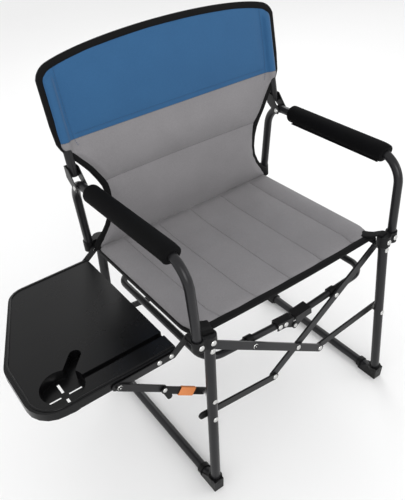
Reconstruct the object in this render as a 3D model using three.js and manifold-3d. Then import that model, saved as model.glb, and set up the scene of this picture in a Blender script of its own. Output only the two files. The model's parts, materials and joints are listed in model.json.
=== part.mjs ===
/*
 * Folding camp chair with padded seat and back and a drop-leaf side table.
 *
 * Units are millimetres with +Z up. The chair faces -Y. Left and right are as seen from
 * the front, so left is -X, where the table hangs. The drawing frame has x = 0 midway
 * between the side frames and z = 0 on the floor. At the end the whole chair is moved so
 * that the origin lies at the bottom centre of its box.
 *
 * The chair folds flat sideways: two pairs of crossing bars swing about pivots along Y,
 * and the right side frame moves straight towards the left one.
 */
import * as THREE from 'three';
import { mergeVertices } from 'three/addons/utils/BufferGeometryUtils.js';
import Module from 'manifold-3d';

const wasm = await Module();
wasm.setup();

// ---------------------------------------------------------------- driving dimensions

const GAP = 0.3;          // air between pieces that touch
const ARC_STEPS = 5;      // straight pieces in each tube bend
const PIN_SIDES = 8;      // facets round a pin or a hole
const END_STEPS = 4;      // half the straight pieces round the end of a flat bar

// Leg frames: x is the distance of the tube's axis from the middle of the chair.
const LEG = {
  radius: 11, wall: 1.5, sides: 10,
  frontY: 6, rearY: 447, floorZ: 14, topZ: 447, bend: 28,
  pivotX: 242, pivotZ: 423, footX: 262,
};
const SPLAY = (LEG.footX - LEG.pivotX) / (LEG.pivotZ - LEG.floorZ);
const MIDDLE_Y = (LEG.frontY + LEG.rearY) / 2;
const SHOE = {
  bore: 11.9, halfWidth: 12, toeY: -9, toeFootY: -5, heelY: 52, toeTopZ: 36,
  collar: 15.5, collarLowZ: 26, collarHighZ: 38, clip: 14.6, clipLength: 12,
};

// Arms: the bent tube from the front bracket over the armrest to the rear bracket.
const ARM = {
  radius: 9.75, wall: 1.5, sides: 10, bend: 58,
  bottomZ: 438, topZ: 634,
  frontY: 7, rearY: 429, rearFootY: 447,
  footX: 266, frontX: 271, rearX: 279, rearFootX: 268,
};
const FOAM = { outer: 20.5, inner: 11, startY: 44, endY: 346, sides: 12 };
const BRACKET = {
  bottomZ: 434, topZ: 460, socket: 15.5, ear: 13, socketBore: 12.5, socketSlack: 1.2, earBore: 10.8,
  webHalf: 9,
};

// Scissor bars cross in the middle; the links steady the legs lower down.
const CROSS_Z = 260;
const BAR = { width: 19, thickness: 5, tail: 0.285 };
const LINK = { width: 17, thickness: 5, legZ: 233, overhang: 16 };
const BAR_HALF = Math.hypot(LEG.pivotX, LEG.pivotZ - CROSS_Z);
const BAR_SLOPE = Math.atan2(LEG.pivotZ - CROSS_Z, LEG.pivotX);
const PIN = { shank: 3, hole: 3.6, head: 6, headHeight: 1.9, spacer: 5.5 };

// Layers along Y behind the front legs; the rear ones mirror them about MIDDLE_Y.
const LAYER_NEAR = LEG.frontY + LEG.radius + 1.5;
const LAYER_FAR = LAYER_NEAR + BAR.thickness + 1.5;
const SEAT_FRAME_Y = 43;

// Seat support frame: two U-shaped tubes that meet at hinges in the middle.
const SEAT_FRAME = { radius: 8, wall: 1.2, sides: 10, bend: 40, railX: 229, centreZ: 332, gap: 3 };
const SADDLE_X = LEG.pivotX / 2;
const SADDLE_Z = (LEG.pivotZ + CROSS_Z) / 2;
const SEAT_FRAME_RISE = (SADDLE_Z - SEAT_FRAME.centreZ) / SADDLE_X;
const SADDLE = { outer: 11.5, inner: 8.8, length: 16 };
const LEAF = { length: 48, drop: 12, ear: 8, sheet: 2.2, roof: 1.8, pin: 2.6, hole: 3.2, pinHead: 5 };

// Back: two tubes that swing forward on rivets through the arms.
const BACK = {
  radius: 9.5, wall: 1.3, sides: 10, x: 279, footY: 411, footZ: 648, lean: 0.15, topZ: 842,
  pivotY: 390, pivotZ: 631, flangeGap: 11, flange: 2, channelTopZ: 671,
};

// Padded cloth: simple solids that fill the room of the sewn parts.
const SEAT = { halfX: 250, frontY: 33, rearY: 421, topZ: 452, bottomZ: 436, flapZ: 424, flap: 8 };
const BACK_PAD = {
  thickness: 24, splitZ: 650, seam: 3.5, sleeve: 10.4, cornerX: 278, cornerZ: 855, rise: 48, archHalf: 300,
  lowerThickness: 14, lowerLean: 0.085, footZ: 461.5, footY: 426,
  lower: [[240, 0], [221, 30], [210, 60], [211, 100], [224, 140], [246, 180]], lowerTop: 250,
  upper: [[252, 650], [262, 680], [290, 704], [297, 836], [294, 857]], archSteps: 8,
};

// Side table.
const TABLE = {
  innerX: -291, outerX: -577, frontY: 45, rearY: 425, topZ: 428, rim: 17, sheet: 3.4,
  slantX: -482, slantY: 205, cupX: -505, cupY: 97, cup: 42, cupFloorZ: 402, cupFloor: 2.6,
  stemX: -451, stemY: 157, stem: 12, slotY: 95, slotWidth: 12, slotDepth: 9,
  innerRound: 6, rearRound: 45, slantRound: 60, frontRound: 55,
  drainNear: 8, drainFar: 34, drainHalf: 2.6,
};
const TABLE_HINGE = { x: -266, z: 442, boss: 7 };
const TABLE_BAR = { width: 15, thickness: 3, z: 416, kneeX: -302, rearReach: 60 };
const STRUT = {
  topX: -421, topZ: 416, legZ: 286, upper: 106.8, width: 15, thickness: 4, lowerWidth: 16,
  upperY: 36.5, lowerY: 31.5, gripStart: 38, gripEnd: 78, grip: 1.6,
};

// ---------------------------------------------------------------- finishes

const finish = (color, roughness, metalness) =>
  new THREE.MeshStandardMaterial({ color, roughness, metalness });
const POWDER_COAT = finish(0x3a3a3b, 0.45, 0.4);
const STEEL = finish(0xd6d6d4, 0.3, 1);
const BLACK_STEEL = finish(0x202021, 0.5, 0.4);
const BLACK_PLASTIC = finish(0x131314, 0.5, 0);
const FOAM_RUBBER = finish(0x0e0e0f, 0.9, 0);
const TABLE_PLASTIC = finish(0x232324, 0.4, 0);
const ORANGE_RUBBER = finish(0xe8853f, 0.6, 0);
const GREY_CLOTH = finish(0x858385, 0.9, 0);
const BLUE_CLOTH = finish(0x38658f, 0.9, 0);

// ---------------------------------------------------------------- shape helpers

const point = (x, y, z) => new THREE.Vector3(x, y, z);

/** A curve that runs exactly through the given points, one step from each to the next. */
class Polyline extends THREE.Curve {
  constructor(points) {
    super();
    this.points = points;
  }

  indexOf(u) {
    return Math.round(u * (this.points.length - 1));
  }

  getPointAt(u) {
    return this.points[this.indexOf(u)].clone();
  }

  getTangentAt(u) {
    const i = this.indexOf(u);
    const before = this.points[Math.max(i - 1, 0)];
    const after = this.points[Math.min(i + 1, this.points.length - 1)];
    return after.clone().sub(before).normalize();
  }
}

/** The points of a fillet of the given radius at a corner between two neighbours. */
function fillet(before, corner, after, radius, steps = ARC_STEPS) {
  const back = before.clone().sub(corner).normalize();
  const on = after.clone().sub(corner).normalize();
  const half = back.angleTo(on) / 2;
  const toCentre = back.clone().add(on).setLength(radius / Math.sin(half));
  const start = back.clone().multiplyScalar(radius / Math.tan(half)).sub(toCentre);
  const end = on.clone().multiplyScalar(radius / Math.tan(half)).sub(toCentre);
  const axis = start.clone().cross(end).normalize();
  const centre = corner.clone().add(toCentre);
  const points = [];
  for (let k = 0; k <= steps; k += 1) {
    points.push(start.clone().applyAxisAngle(axis, (start.angleTo(end) * k) / steps).add(centre));
  }
  return points;
}

/** A bent centreline: straight between corners, with a fillet at each inner corner. */
function bentLine(corners, radius) {
  const points = [corners[0]];
  for (let i = 1; i < corners.length - 1; i += 1) {
    points.push(...fillet(corners[i - 1], corners[i], corners[i + 1], radius));
  }
  points.push(corners[corners.length - 1]);
  return points;
}

/** A hollow tube along a centreline; an inner radius of zero makes it solid. */
function tube(points, outer, inner, sides) {
  const ring = new THREE.Shape().absarc(0, 0, outer, 0, 2 * Math.PI, false);
  if (inner > 0) ring.holes.push(new THREE.Path().absarc(0, 0, inner, 0, 2 * Math.PI, true));
  return new THREE.ExtrudeGeometry(ring, {
    curveSegments: sides / 2, steps: points.length - 1, extrudePath: new Polyline(points),
  });
}

/** A closed outline from [x, y, radius] corners. */
function roundedOutline(corners) {
  const flat = corners.map(([x, y]) => point(x, y, 0));
  const outline = [];
  corners.forEach(([, , radius], i) => {
    const before = flat[(i + corners.length - 1) % corners.length];
    const after = flat[(i + 1) % corners.length];
    if (radius > 0) outline.push(...fillet(before, flat[i], after, radius));
    else outline.push(flat[i]);
  });
  return new THREE.Shape(outline.map((p) => new THREE.Vector2(p.x, p.y)));
}

/** A shape drawn in the XY plane, raised from z = low to z = high. */
function slab(shape, low, high, curveSegments = 12) {
  const depth = high - low;
  return new THREE.ExtrudeGeometry(shape, { depth, bevelEnabled: false, curveSegments })
    .translate(0, 0, low);
}

/** A shape drawn as (x, z), extruded along Y from one y to the next. */
function plate(shape, lowY, highY, curveSegments = 12) {
  const depth = highY - lowY;
  return new THREE.ExtrudeGeometry(shape, { depth, bevelEnabled: false, curveSegments })
    .rotateX(Math.PI / 2).translate(0, highY, 0);
}

/** A shape drawn as (y, z), extruded along X from one x to the next. */
function sideplate(shape, lowX, highX) {
  return new THREE.ExtrudeGeometry(shape, { depth: highX - lowX, bevelEnabled: false })
    .rotateX(Math.PI / 2).rotateZ(Math.PI / 2).translate(lowX, 0, 0);
}

/** A box between two opposite corners. */
function block(low, high) {
  const size = high.clone().sub(low);
  const middle = high.clone().add(low).multiplyScalar(0.5);
  return new THREE.BoxGeometry(size.x, size.y, size.z).translate(middle.x, middle.y, middle.z);
}

/** Round bars along Y, Z and X. */
function roundY(x, lowY, highY, z, radius, sides = PIN_SIDES) {
  return new THREE.CylinderGeometry(radius, radius, highY - lowY, sides)
    .translate(x, (lowY + highY) / 2, z);
}

function roundZ(x, y, lowZ, highZ, radius, sides = PIN_SIDES) {
  return new THREE.CylinderGeometry(radius, radius, highZ - lowZ, sides)
    .rotateX(Math.PI / 2).translate(x, y, (lowZ + highZ) / 2);
}

function roundX(lowX, highX, y, z, radius, sides = PIN_SIDES) {
  return new THREE.CylinderGeometry(radius, radius, highX - lowX, sides)
    .rotateZ(Math.PI / 2).translate((lowX + highX) / 2, y, z);
}

/** A round turned part along Y from [radius, y] stations, closed on its axis. */
function turned(stations, sides = PIN_SIDES) {
  return new THREE.LatheGeometry(stations.map(([r, y]) => new THREE.Vector2(r, y)), sides);
}

/** A strip with round ends, drawn along a bent centreline of [x, y] points. */
function strip(centreline, width) {
  const half = width / 2;
  const line = centreline.map(([x, y]) => new THREE.Vector2(x, y));
  const headings = line.slice(1).map((p, i) => p.clone().sub(line[i]).angle());
  const offset = (i, side) => {
    const before = headings[Math.max(i - 1, 0)];
    const after = headings[Math.min(i, headings.length - 1)];
    const heading = (before + after) / 2;
    const reach = (side * half) / Math.cos((after - before) / 2);
    const across = new THREE.Vector2(-Math.sin(heading), Math.cos(heading));
    return line[i].clone().addScaledVector(across, reach);
  };
  const last = line.length - 1;
  const shape = new THREE.Shape();
  line.forEach((p, i) => {
    const right = offset(i, -1);
    if (i === 0) shape.moveTo(right.x, right.y);
    else shape.lineTo(right.x, right.y);
  });
  const end = headings[last - 1];
  shape.absarc(line[last].x, line[last].y, half, end - Math.PI / 2, end + Math.PI / 2, false);
  for (let i = last - 1; i >= 0; i -= 1) {
    const left = offset(i, 1);
    shape.lineTo(left.x, left.y);
  }
  const start = headings[0] + Math.PI / 2;
  shape.absarc(line[0].x, line[0].y, half, start, start + Math.PI, false);
  return shape;
}

function toSolid(geometry) {
  const bare = geometry.clone();
  bare.deleteAttribute('normal');
  bare.deleteAttribute('uv');
  const merged = mergeVertices(bare, 1e-3);
  return new wasm.Manifold(new wasm.Mesh({
    numProp: 3,
    vertProperties: new Float32Array(merged.attributes.position.array),
    triVerts: new Uint32Array(merged.index.array),
  }));
}

function toGeometry(solid) {
  const mesh = solid.getMesh();
  const geometry = new THREE.BufferGeometry();
  geometry.setAttribute('position', new THREE.BufferAttribute(mesh.vertProperties, 3));
  geometry.setIndex(new THREE.BufferAttribute(mesh.triVerts, 1));
  geometry.computeVertexNormals();
  return geometry;
}

const cut = (geometry, ...tools) =>
  toGeometry(tools.reduce((solid, tool) => solid.subtract(toSolid(tool)), toSolid(geometry)));
const join = (geometry, ...others) =>
  toGeometry(others.reduce((solid, other) => solid.add(toSolid(other)), toSolid(geometry)));

// ---------------------------------------------------------------- places

const SIDES = [{ name: 'left', sign: -1 }, { name: 'right', sign: 1 }];
const ENDS = [{ name: 'front', sign: 1 }, { name: 'rear', sign: -1 }];

/** A layer's y at the front, or its mirror image at the rear. */
const atEnd = (end, y) => (end.sign > 0 ? y : 2 * MIDDLE_Y - y);
const legX = (z) => LEG.pivotX + (LEG.pivotZ - z) * SPLAY;
const legPoint = (side, y, z) => point(side.sign * legX(z), y, z);

const chair = new THREE.Group();

/** Adds a named sub-part to a group. */
function add(name, geometry, material, parent = chair) {
  const mesh = new THREE.Mesh(geometry, material);
  mesh.name = name;
  parent.add(mesh);
  return mesh;
}

// ---------------------------------------------------------------- side frames

function legFrame(side) {
  const corners = [
    legPoint(side, LEG.frontY, LEG.topZ), legPoint(side, LEG.frontY, LEG.floorZ),
    legPoint(side, LEG.rearY, LEG.floorZ), legPoint(side, LEG.rearY, LEG.topZ),
  ];
  const body = tube(bentLine(corners, LEG.bend), LEG.radius, LEG.radius - LEG.wall, LEG.sides);
  const heights = [LEG.pivotZ, LINK.legZ];
  const holes = heights.flatMap((z) => [LEG.frontY, LEG.rearY].map((y) => {
    const reach = 2 * LEG.radius;
    return roundY(side.sign * legX(z), y - reach, y + reach, z, PIN.hole);
  }));
  if (side.sign < 0) {
    const reach = 2 * LEG.radius;
    holes.push(roundY(-legX(STRUT.legZ), LEG.frontY - reach, LEG.frontY + reach, STRUT.legZ, PIN.hole));
  }
  return cut(body, ...holes);
}

/** A moulded shoe: a wedge with a flat sole and square toe, a leg collar and a runner clip. */
function shoe(side, end) {
  const { bore, halfWidth, toeY, toeFootY, heelY, toeTopZ, collar, clip, clipLength } = SHOE;
  const place = (y) => atEnd(end, y);
  const x = side.sign * LEG.footX;
  const profile = new THREE.Shape([
    [toeY, toeTopZ], [toeFootY, 0], [heelY, 0], [heelY, LEG.floorZ], [LEG.frontY, toeTopZ],
  ].map(([y, z]) => new THREE.Vector2(place(y), z)));
  const wedge = sideplate(profile, x - halfWidth, x + halfWidth);
  const ring = roundZ(side.sign * legX(SHOE.collarLowZ), place(LEG.frontY), SHOE.collarLowZ, SHOE.collarHighZ,
    collar, 14);
  const clipStart = place(heelY - clipLength / 2);
  const clipEnd = place(heelY + clipLength / 2);
  const hoop = roundY(x, Math.min(clipStart, clipEnd), Math.max(clipStart, clipEnd), LEG.floorZ, clip, 14);
  const core = tube(bentLine([
    legPoint(side, place(LEG.frontY), 2 * LEG.bend), legPoint(side, place(LEG.frontY), LEG.floorZ),
    legPoint(side, place(heelY + clipLength), LEG.floorZ),
  ], LEG.bend), bore, 0, LEG.sides);
  const underFloor = block(point(x - 50, -100, -20), point(x + 50, 600, 0));
  return cut(join(wedge, ring, hoop), core, underFloor);
}

function armLine(side) {
  return bentLine([
    point(side.sign * ARM.footX, ARM.frontY, ARM.bottomZ),
    point(side.sign * ARM.frontX, ARM.frontY, ARM.topZ),
    point(side.sign * ARM.rearX, ARM.rearY, ARM.topZ),
    point(side.sign * ARM.rearFootX, ARM.rearFootY, ARM.bottomZ),
  ], ARM.bend);
}

function armTube(side) {
  const hole = roundX(-400, 400, BACK.pivotY, BACK.pivotZ, PIN.hole);
  return cut(tube(armLine(side), ARM.radius, ARM.radius - ARM.wall, ARM.sides), hole);
}

/** The stretch of the arm's centreline between two y values. */
function armStretch(side, startY, endY) {
  const line = armLine(side);
  const pointAt = (y) => {
    const i = line.findIndex((p) => p.y > y);
    const share = (y - line[i - 1].y) / (line[i].y - line[i - 1].y);
    return line[i - 1].clone().lerp(line[i], share);
  };
  return [pointAt(startY), ...line.filter((p) => p.y > startY && p.y < endY), pointAt(endY)];
}

function armFoam(side) {
  return tube(armStretch(side, FOAM.startY, FOAM.endY), FOAM.outer, FOAM.inner, FOAM.sides);
}

/** A moulded socket round the leg top, with an ear that holds the foot of the arm tube. */
function cornerBracket(side, end) {
  const { bottomZ, topZ } = BRACKET;
  const legY = atEnd(end, LEG.frontY);
  const armY = end.sign > 0 ? ARM.frontY : ARM.rearFootY;
  const armX = side.sign * (end.sign > 0 ? ARM.footX : ARM.rearFootX);
  const socketX = side.sign * legX((bottomZ + topZ) / 2);
  const web = block(
    point(Math.min(socketX, armX), Math.min(legY, armY) - BRACKET.webHalf, bottomZ),
    point(Math.max(socketX, armX), Math.max(legY, armY) + BRACKET.webHalf, topZ),
  );
  const parts = [web, roundZ(armX, armY, bottomZ, topZ, BRACKET.ear, 16)];
  if (side.sign < 0) {
    const bossEnd = atEnd(end, end.sign > 0 ? TABLE.frontY - 4.3 : 2 * MIDDLE_Y - TABLE.rearY - 3.7);
    const pinEnd = bossEnd + end.sign * (TABLE_BAR.thickness + 1.6);
    const inner = legY + end.sign * BRACKET.webHalf * 0.5;
    const stub = (tip, radius, sides) =>
      roundY(TABLE_HINGE.x, Math.min(inner, tip), Math.max(inner, tip), TABLE_HINGE.z, radius, sides);
    parts.push(stub(bossEnd, TABLE_HINGE.boss, 12));
    parts.push(stub(pinEnd, PIN.shank, PIN_SIDES));
  }
  const body = join(roundZ(socketX, legY, bottomZ, topZ, BRACKET.socket, 18), ...parts);
  const arm = armLine(side);
  const [foot, above] = end.sign > 0 ? arm : arm.slice(-2).reverse();
  const start = foot.clone().add(foot.clone().sub(above).setLength(GAP));
  return cut(
    body,
    roundZ(socketX, legY, bottomZ - 5, LEG.topZ + BRACKET.socketSlack, BRACKET.socketBore, 16),
    tube([start, above], BRACKET.earBore, 0, 14),
  );
}

for (const side of SIDES) {
  add(`${side.name}_leg_frame`, legFrame(side), POWDER_COAT);
  add(`${side.name}_arm_tube`, armTube(side), POWDER_COAT);
  add(`${side.name}_arm_foam`, armFoam(side), FOAM_RUBBER);
  for (const end of ENDS) {
    add(`${side.name}_${end.name}_shoe`, shoe(side, end), BLACK_PLASTIC);
    add(`${side.name}_${end.name}_bracket`, cornerBracket(side, end), BLACK_PLASTIC);
  }
}

// ---------------------------------------------------------------- scissor bars and links

/** A flat bar along +X from its first hole, with holes at the given distances. */
function pivotBar(length, overhang, width, thickness, holes) {
  const outline = strip([[-overhang, 0], [length, 0]], width);
  const drills = holes.map((x) => roundY(x, -1, thickness + 1, 0, PIN.hole));
  return cut(plate(outline, 0, thickness, END_STEPS), ...drills);
}

/** Places a bar drawn along +X with its near face at a layer, at either end of the chair. */
function placeBar(mesh, side, end, x, layer, thickness, z, slope) {
  mesh.position.set(side.sign * x, end.sign > 0 ? layer : 2 * MIDDLE_Y - layer - thickness, z);
  mesh.rotation.y = side.sign < 0 ? slope : Math.PI - slope;
}

const TAIL_X = BAR.tail * LEG.pivotX;
const TAIL_Z = CROSS_Z - BAR.tail * (LEG.pivotZ - CROSS_Z);
const LINK_RUN = legX(LINK.legZ) - TAIL_X;
const LINK_LENGTH = Math.hypot(LINK_RUN, LINK.legZ - TAIL_Z);
const LINK_SLOPE = Math.atan2(LINK.legZ - TAIL_Z, LINK_RUN);

for (const end of ENDS) {
  for (const side of SIDES) {
    const barLayer = side.sign < 0 ? LAYER_NEAR : LAYER_FAR;
    const barShape = pivotBar(BAR_HALF * (1 + BAR.tail), 0, BAR.width, BAR.thickness,
      [0, BAR_HALF / 2, BAR_HALF]);
    const bar = add(`${end.name}_scissor_bar_${side.name}`, barShape, POWDER_COAT);
    placeBar(bar, side, end, LEG.pivotX, barLayer, BAR.thickness, LEG.pivotZ, BAR_SLOPE);
    const link = add(`${end.name}_lower_link_${side.name}`,
      pivotBar(LINK_LENGTH, LINK.overhang, LINK.width, LINK.thickness, [0]), BLACK_STEEL);
    placeBar(link, side, end, legX(LINK.legZ), barLayer, LINK.thickness, LINK.legZ, LINK_SLOPE);
  }
}

// ---------------------------------------------------------------- rivets

/** A rivet along +Y: head, shank, an optional spacer on the shank, and a clenched tail. */
function rivet(headY, tailY, spacer) {
  const { shank, head, headHeight } = PIN;
  const stations = [[0, headY - headHeight], [head * 0.6, headY - headHeight], [head, headY - 0.6],
    [head, headY], [shank, headY]];
  if (spacer) {
    stations.push([shank, spacer[0]], [PIN.spacer, spacer[0]], [PIN.spacer, spacer[1]], [shank, spacer[1]]);
  }
  stations.push([shank, tailY], [head * 0.9, tailY], [head * 0.8, tailY + 1.3], [0, tailY + 1.5]);
  return turned(stations);
}

/** Stands a rivet drawn for the front at the front or, turned about, at the rear. */
function placeRivet(mesh, end, x, z) {
  mesh.position.set(x, end.sign > 0 ? 0 : 2 * MIDDLE_Y, z);
  mesh.rotation.x = end.sign > 0 ? 0 : Math.PI;
}

const LEG_FACE = LEG.frontY - LEG.radius - GAP;
const LEG_BACK = LEG.frontY + LEG.radius + GAP;
const NEAR_BACK = LAYER_NEAR + BAR.thickness + GAP;
const FAR_BACK = LAYER_FAR + BAR.thickness + GAP;

for (const end of ENDS) {
  const cross = add(`${end.name}_cross_rivet`, rivet(LAYER_NEAR - GAP, FAR_BACK), STEEL);
  placeRivet(cross, end, 0, CROSS_Z);
  for (const side of SIDES) {
    const tail = side.sign < 0 ? NEAR_BACK : FAR_BACK;
    const spacer = side.sign < 0 ? null : [LEG_BACK, LAYER_FAR - GAP];
    const top = add(`${side.name}_${end.name}_bar_rivet`, rivet(LEG_FACE, tail, spacer), STEEL);
    placeRivet(top, end, side.sign * LEG.pivotX, LEG.pivotZ);
    const low = add(`${side.name}_${end.name}_link_rivet`, rivet(LEG_FACE, tail, spacer), STEEL);
    placeRivet(low, end, side.sign * legX(LINK.legZ), LINK.legZ);
  }
}

// ---------------------------------------------------------------- seat support frame

const seatFrameZ = (x) => SEAT_FRAME.centreZ + SEAT_FRAME_RISE * x;

function seatFrameHalf(side) {
  const at = (x, y) => point(side.sign * x, y, seatFrameZ(x));
  const rearY = 2 * MIDDLE_Y - SEAT_FRAME_Y;
  const line = bentLine([
    at(SEAT_FRAME.gap, SEAT_FRAME_Y), at(SEAT_FRAME.railX, SEAT_FRAME_Y),
    at(SEAT_FRAME.railX, rearY), at(SEAT_FRAME.gap, rearY),
  ], SEAT_FRAME.bend);
  return tube(line, SEAT_FRAME.radius, SEAT_FRAME.radius - SEAT_FRAME.wall, SEAT_FRAME.sides);
}

/** A clip round the seat tube; on the left its stud turns in the scissor bar. */
function saddle(side, end) {
  const { outer, inner, length } = SADDLE;
  const ring = turned([[inner, -length / 2], [outer, -length / 2], [outer, length / 2],
    [inner, length / 2], [inner, -length / 2]], 18)
    .rotateZ(Math.PI / 2).rotateY(side.sign < 0 ? Math.atan(SEAT_FRAME_RISE) : -Math.atan(SEAT_FRAME_RISE));
  if (side.sign > 0) return ring;
  const clipFace = -(inner + outer) / 2;
  const headFace = LAYER_NEAR - GAP - SEAT_FRAME_Y;
  const low = headFace - PIN.headHeight;
  const stud = turned([[0, low], [PIN.head * 0.8, low], [PIN.head, headFace], [PIN.shank, headFace],
    [PIN.shank, clipFace], [0, clipFace]]);
  return join(ring, end.sign > 0 ? stud : stud.rotateX(Math.PI));
}

/** A folded sheet leaf over the inner end of a seat tube, with ears down to the hinge pin. */
function hingeLeaf(side) {
  const { length, drop, ear, sheet, roof, hole } = LEAF;
  const tilt = Math.atan(SEAT_FRAME_RISE);
  const inside = SEAT_FRAME.radius + 0.5 + (side.sign > 0 ? sheet + 0.5 : 0);
  const outside = inside + sheet;
  const ceiling = SEAT_FRAME.radius + 0.4;
  const pivot = [-drop * Math.sin(tilt), -drop * Math.cos(tilt)];
  const cheek = new THREE.Shape([
    [SEAT_FRAME.gap, ceiling + roof], [SEAT_FRAME.gap, -drop - ear * 0.7], [length / 2, -SEAT_FRAME.radius],
    [length, -SEAT_FRAME.radius], [length, ceiling + roof],
  ].map(([x, z]) => new THREE.Vector2(x, z)));
  const body = join(plate(cheek, -outside, outside), roundY(pivot[0], -outside, outside, pivot[1], ear, 18));
  const leaf = cut(
    body,
    block(point(-2 * ear, -inside, -3 * drop), point(2 * length, inside, ceiling)),
    roundY(pivot[0], -2 * outside, 2 * outside, pivot[1], hole),
  );
  return side.sign > 0 ? leaf.rotateY(-tilt) : leaf.rotateZ(Math.PI).rotateY(tilt);
}

function hingePin() {
  const { pin, pinHead, sheet } = LEAF;
  const face = SEAT_FRAME.radius + 1 + 2 * sheet + GAP + 0.2;
  const cap = face + 1.5;
  return turned([[0, -cap], [pinHead * 0.8, -cap], [pinHead, -face], [pin, -face], [pin, face],
    [pinHead, face], [pinHead * 0.8, cap], [0, cap]]);
}

for (const side of SIDES) {
  add(`seat_frame_${side.name}`, seatFrameHalf(side), POWDER_COAT);
  for (const end of ENDS) {
    const clip = add(`seat_saddle_${side.name}_${end.name}`, saddle(side, end), BLACK_PLASTIC);
    clip.position.set(side.sign * SADDLE_X, atEnd(end, SEAT_FRAME_Y), SADDLE_Z);
    const leaf = add(`seat_hinge_leaf_${side.name}_${end.name}`, hingeLeaf(side), BLACK_STEEL);
    leaf.position.set(0, atEnd(end, SEAT_FRAME_Y), SEAT_FRAME.centreZ);
  }
}
for (const end of ENDS) {
  const pin = add(`seat_hinge_pin_${end.name}`, hingePin(), STEEL);
  pin.position.set(0, atEnd(end, SEAT_FRAME_Y), SEAT_FRAME.centreZ - LEAF.drop);
}

// ---------------------------------------------------------------- back

const backY = (z) => BACK.footY + (z - BACK.footZ) * BACK.lean;

function backTube(side) {
  const line = [BACK.footZ, BACK.topZ].map((z) => point(side.sign * BACK.x, backY(z), z));
  return tube(line, BACK.radius, BACK.radius - BACK.wall, BACK.sides);
}

/** A folded channel round the foot of a back tube, with flanges down to the rivet in the arm. */
function backHinge(side) {
  const { pivotY, pivotZ, footZ, channelTopZ, flangeGap, flange, radius } = BACK;
  const centreX = side.sign * BACK.x;
  const clear = radius + 0.5;
  const web = 2.2;
  const rear = (z) => backY(z) + clear + web;
  const profile = new THREE.Shape([
    [pivotY - 11, pivotZ + 2], [pivotY - 6, pivotZ - 8], [pivotY + 5, pivotZ - 9],
    [rear(footZ) + 1, footZ - 4],
    [rear(channelTopZ), channelTopZ], [backY(channelTopZ) - radius + 1.5, channelTopZ - 3],
  ].map(([y, z]) => new THREE.Vector2(y, z)));
  const outside = flangeGap + flange;
  const hollow = new THREE.Shape([
    [pivotY - 30, pivotZ - 30], [backY(footZ - 40) + clear, footZ - 40],
    [backY(channelTopZ + 20) + clear, channelTopZ + 20], [pivotY - 30, channelTopZ + 20],
  ].map(([y, z]) => new THREE.Vector2(y, z)));
  return cut(
    sideplate(profile, centreX - outside, centreX + outside),
    sideplate(hollow, centreX - flangeGap, centreX + flangeGap),
    roundX(centreX - 2 * outside, centreX + 2 * outside, pivotY, pivotZ, PIN.hole),
  );
}

function backRivet() {
  const face = BACK.flangeGap + BACK.flange + GAP;
  const cap = face + PIN.headHeight;
  return turned([[0, -cap], [PIN.head * 0.7, -cap], [PIN.head, -face], [PIN.shank, -face],
    [PIN.shank, face], [PIN.head, face], [PIN.head * 0.7, cap], [0, cap]]).rotateZ(Math.PI / 2);
}

for (const side of SIDES) {
  add(`back_tube_${side.name}`, backTube(side), POWDER_COAT);
  add(`back_hinge_${side.name}`, backHinge(side), BLACK_STEEL);
  const pin = add(`back_rivet_${side.name}`, backRivet(), STEEL);
  pin.position.set(side.sign * BACK.x, BACK.pivotY, BACK.pivotZ);
}

// ---------------------------------------------------------------- padded cloth

function seatPad() {
  const { halfX, frontY, rearY, topZ, bottomZ, flapZ, flap } = SEAT;
  const flaps = SIDES.map(({ sign }) => block(
    point(Math.min(sign * halfX, sign * (halfX - flap)), frontY, flapZ),
    point(Math.max(sign * halfX, sign * (halfX - flap)), rearY, topZ),
  ));
  return join(block(point(-halfX, frontY, bottomZ), point(halfX, rearY, topZ)), ...flaps);
}

/** A mirrored outline from [half width, z] stations, bottom to top. */
function mirroredOutline(stations) {
  const right = stations.map(([x, z]) => new THREE.Vector2(x, z));
  const left = stations.slice().reverse().map(([x, z]) => new THREE.Vector2(-x, z));
  return new THREE.Shape([...right, ...left]);
}

function lowerBackPad() {
  const { splitZ, seam, footZ, footY, lowerThickness, lowerLean, lower, lowerTop } = BACK_PAD;
  const half = lowerThickness / 2;
  const outline = mirroredOutline([...lower, [lowerTop, splitZ - seam - footZ]]);
  return plate(outline, -half, half).rotateX(lowerLean).translate(0, footY, footZ);
}

function upperBackPad() {
  const { thickness, splitZ, sleeve, upper, archSteps, archHalf, cornerX, cornerZ, rise } = BACK_PAD;
  const slope = Math.hypot(1, BACK.lean);
  const up = (z) => (z - splitZ) * slope;
  const arch = [];
  for (let k = 0; k < archSteps; k += 1) {
    const x = cornerX * Math.cos((k / archSteps) * (Math.PI / 2));
    arch.push([x, up(cornerZ + rise * Math.sqrt(1 - (x / archHalf) ** 2))]);
  }
  const outline = mirroredOutline([...upper.map(([x, z]) => [x, up(z)]), ...arch]);
  const pad = plate(outline, -thickness / 2, thickness / 2).rotateX(-Math.atan(BACK.lean))
    .translate(0, backY(splitZ), splitZ);
  const cores = SIDES.map((side) => tube(
    [BACK.footZ - 20, BACK.topZ + 2].map((z) => point(side.sign * BACK.x, backY(z), z)), sleeve, 0, 14));
  return cut(pad, ...cores);
}

add('seat_pad', seatPad(), GREY_CLOTH);
add('back_pad_lower', lowerBackPad(), GREY_CLOTH);
add('back_pad_upper', upperBackPad(), BLUE_CLOTH);

// ---------------------------------------------------------------- side table

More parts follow.
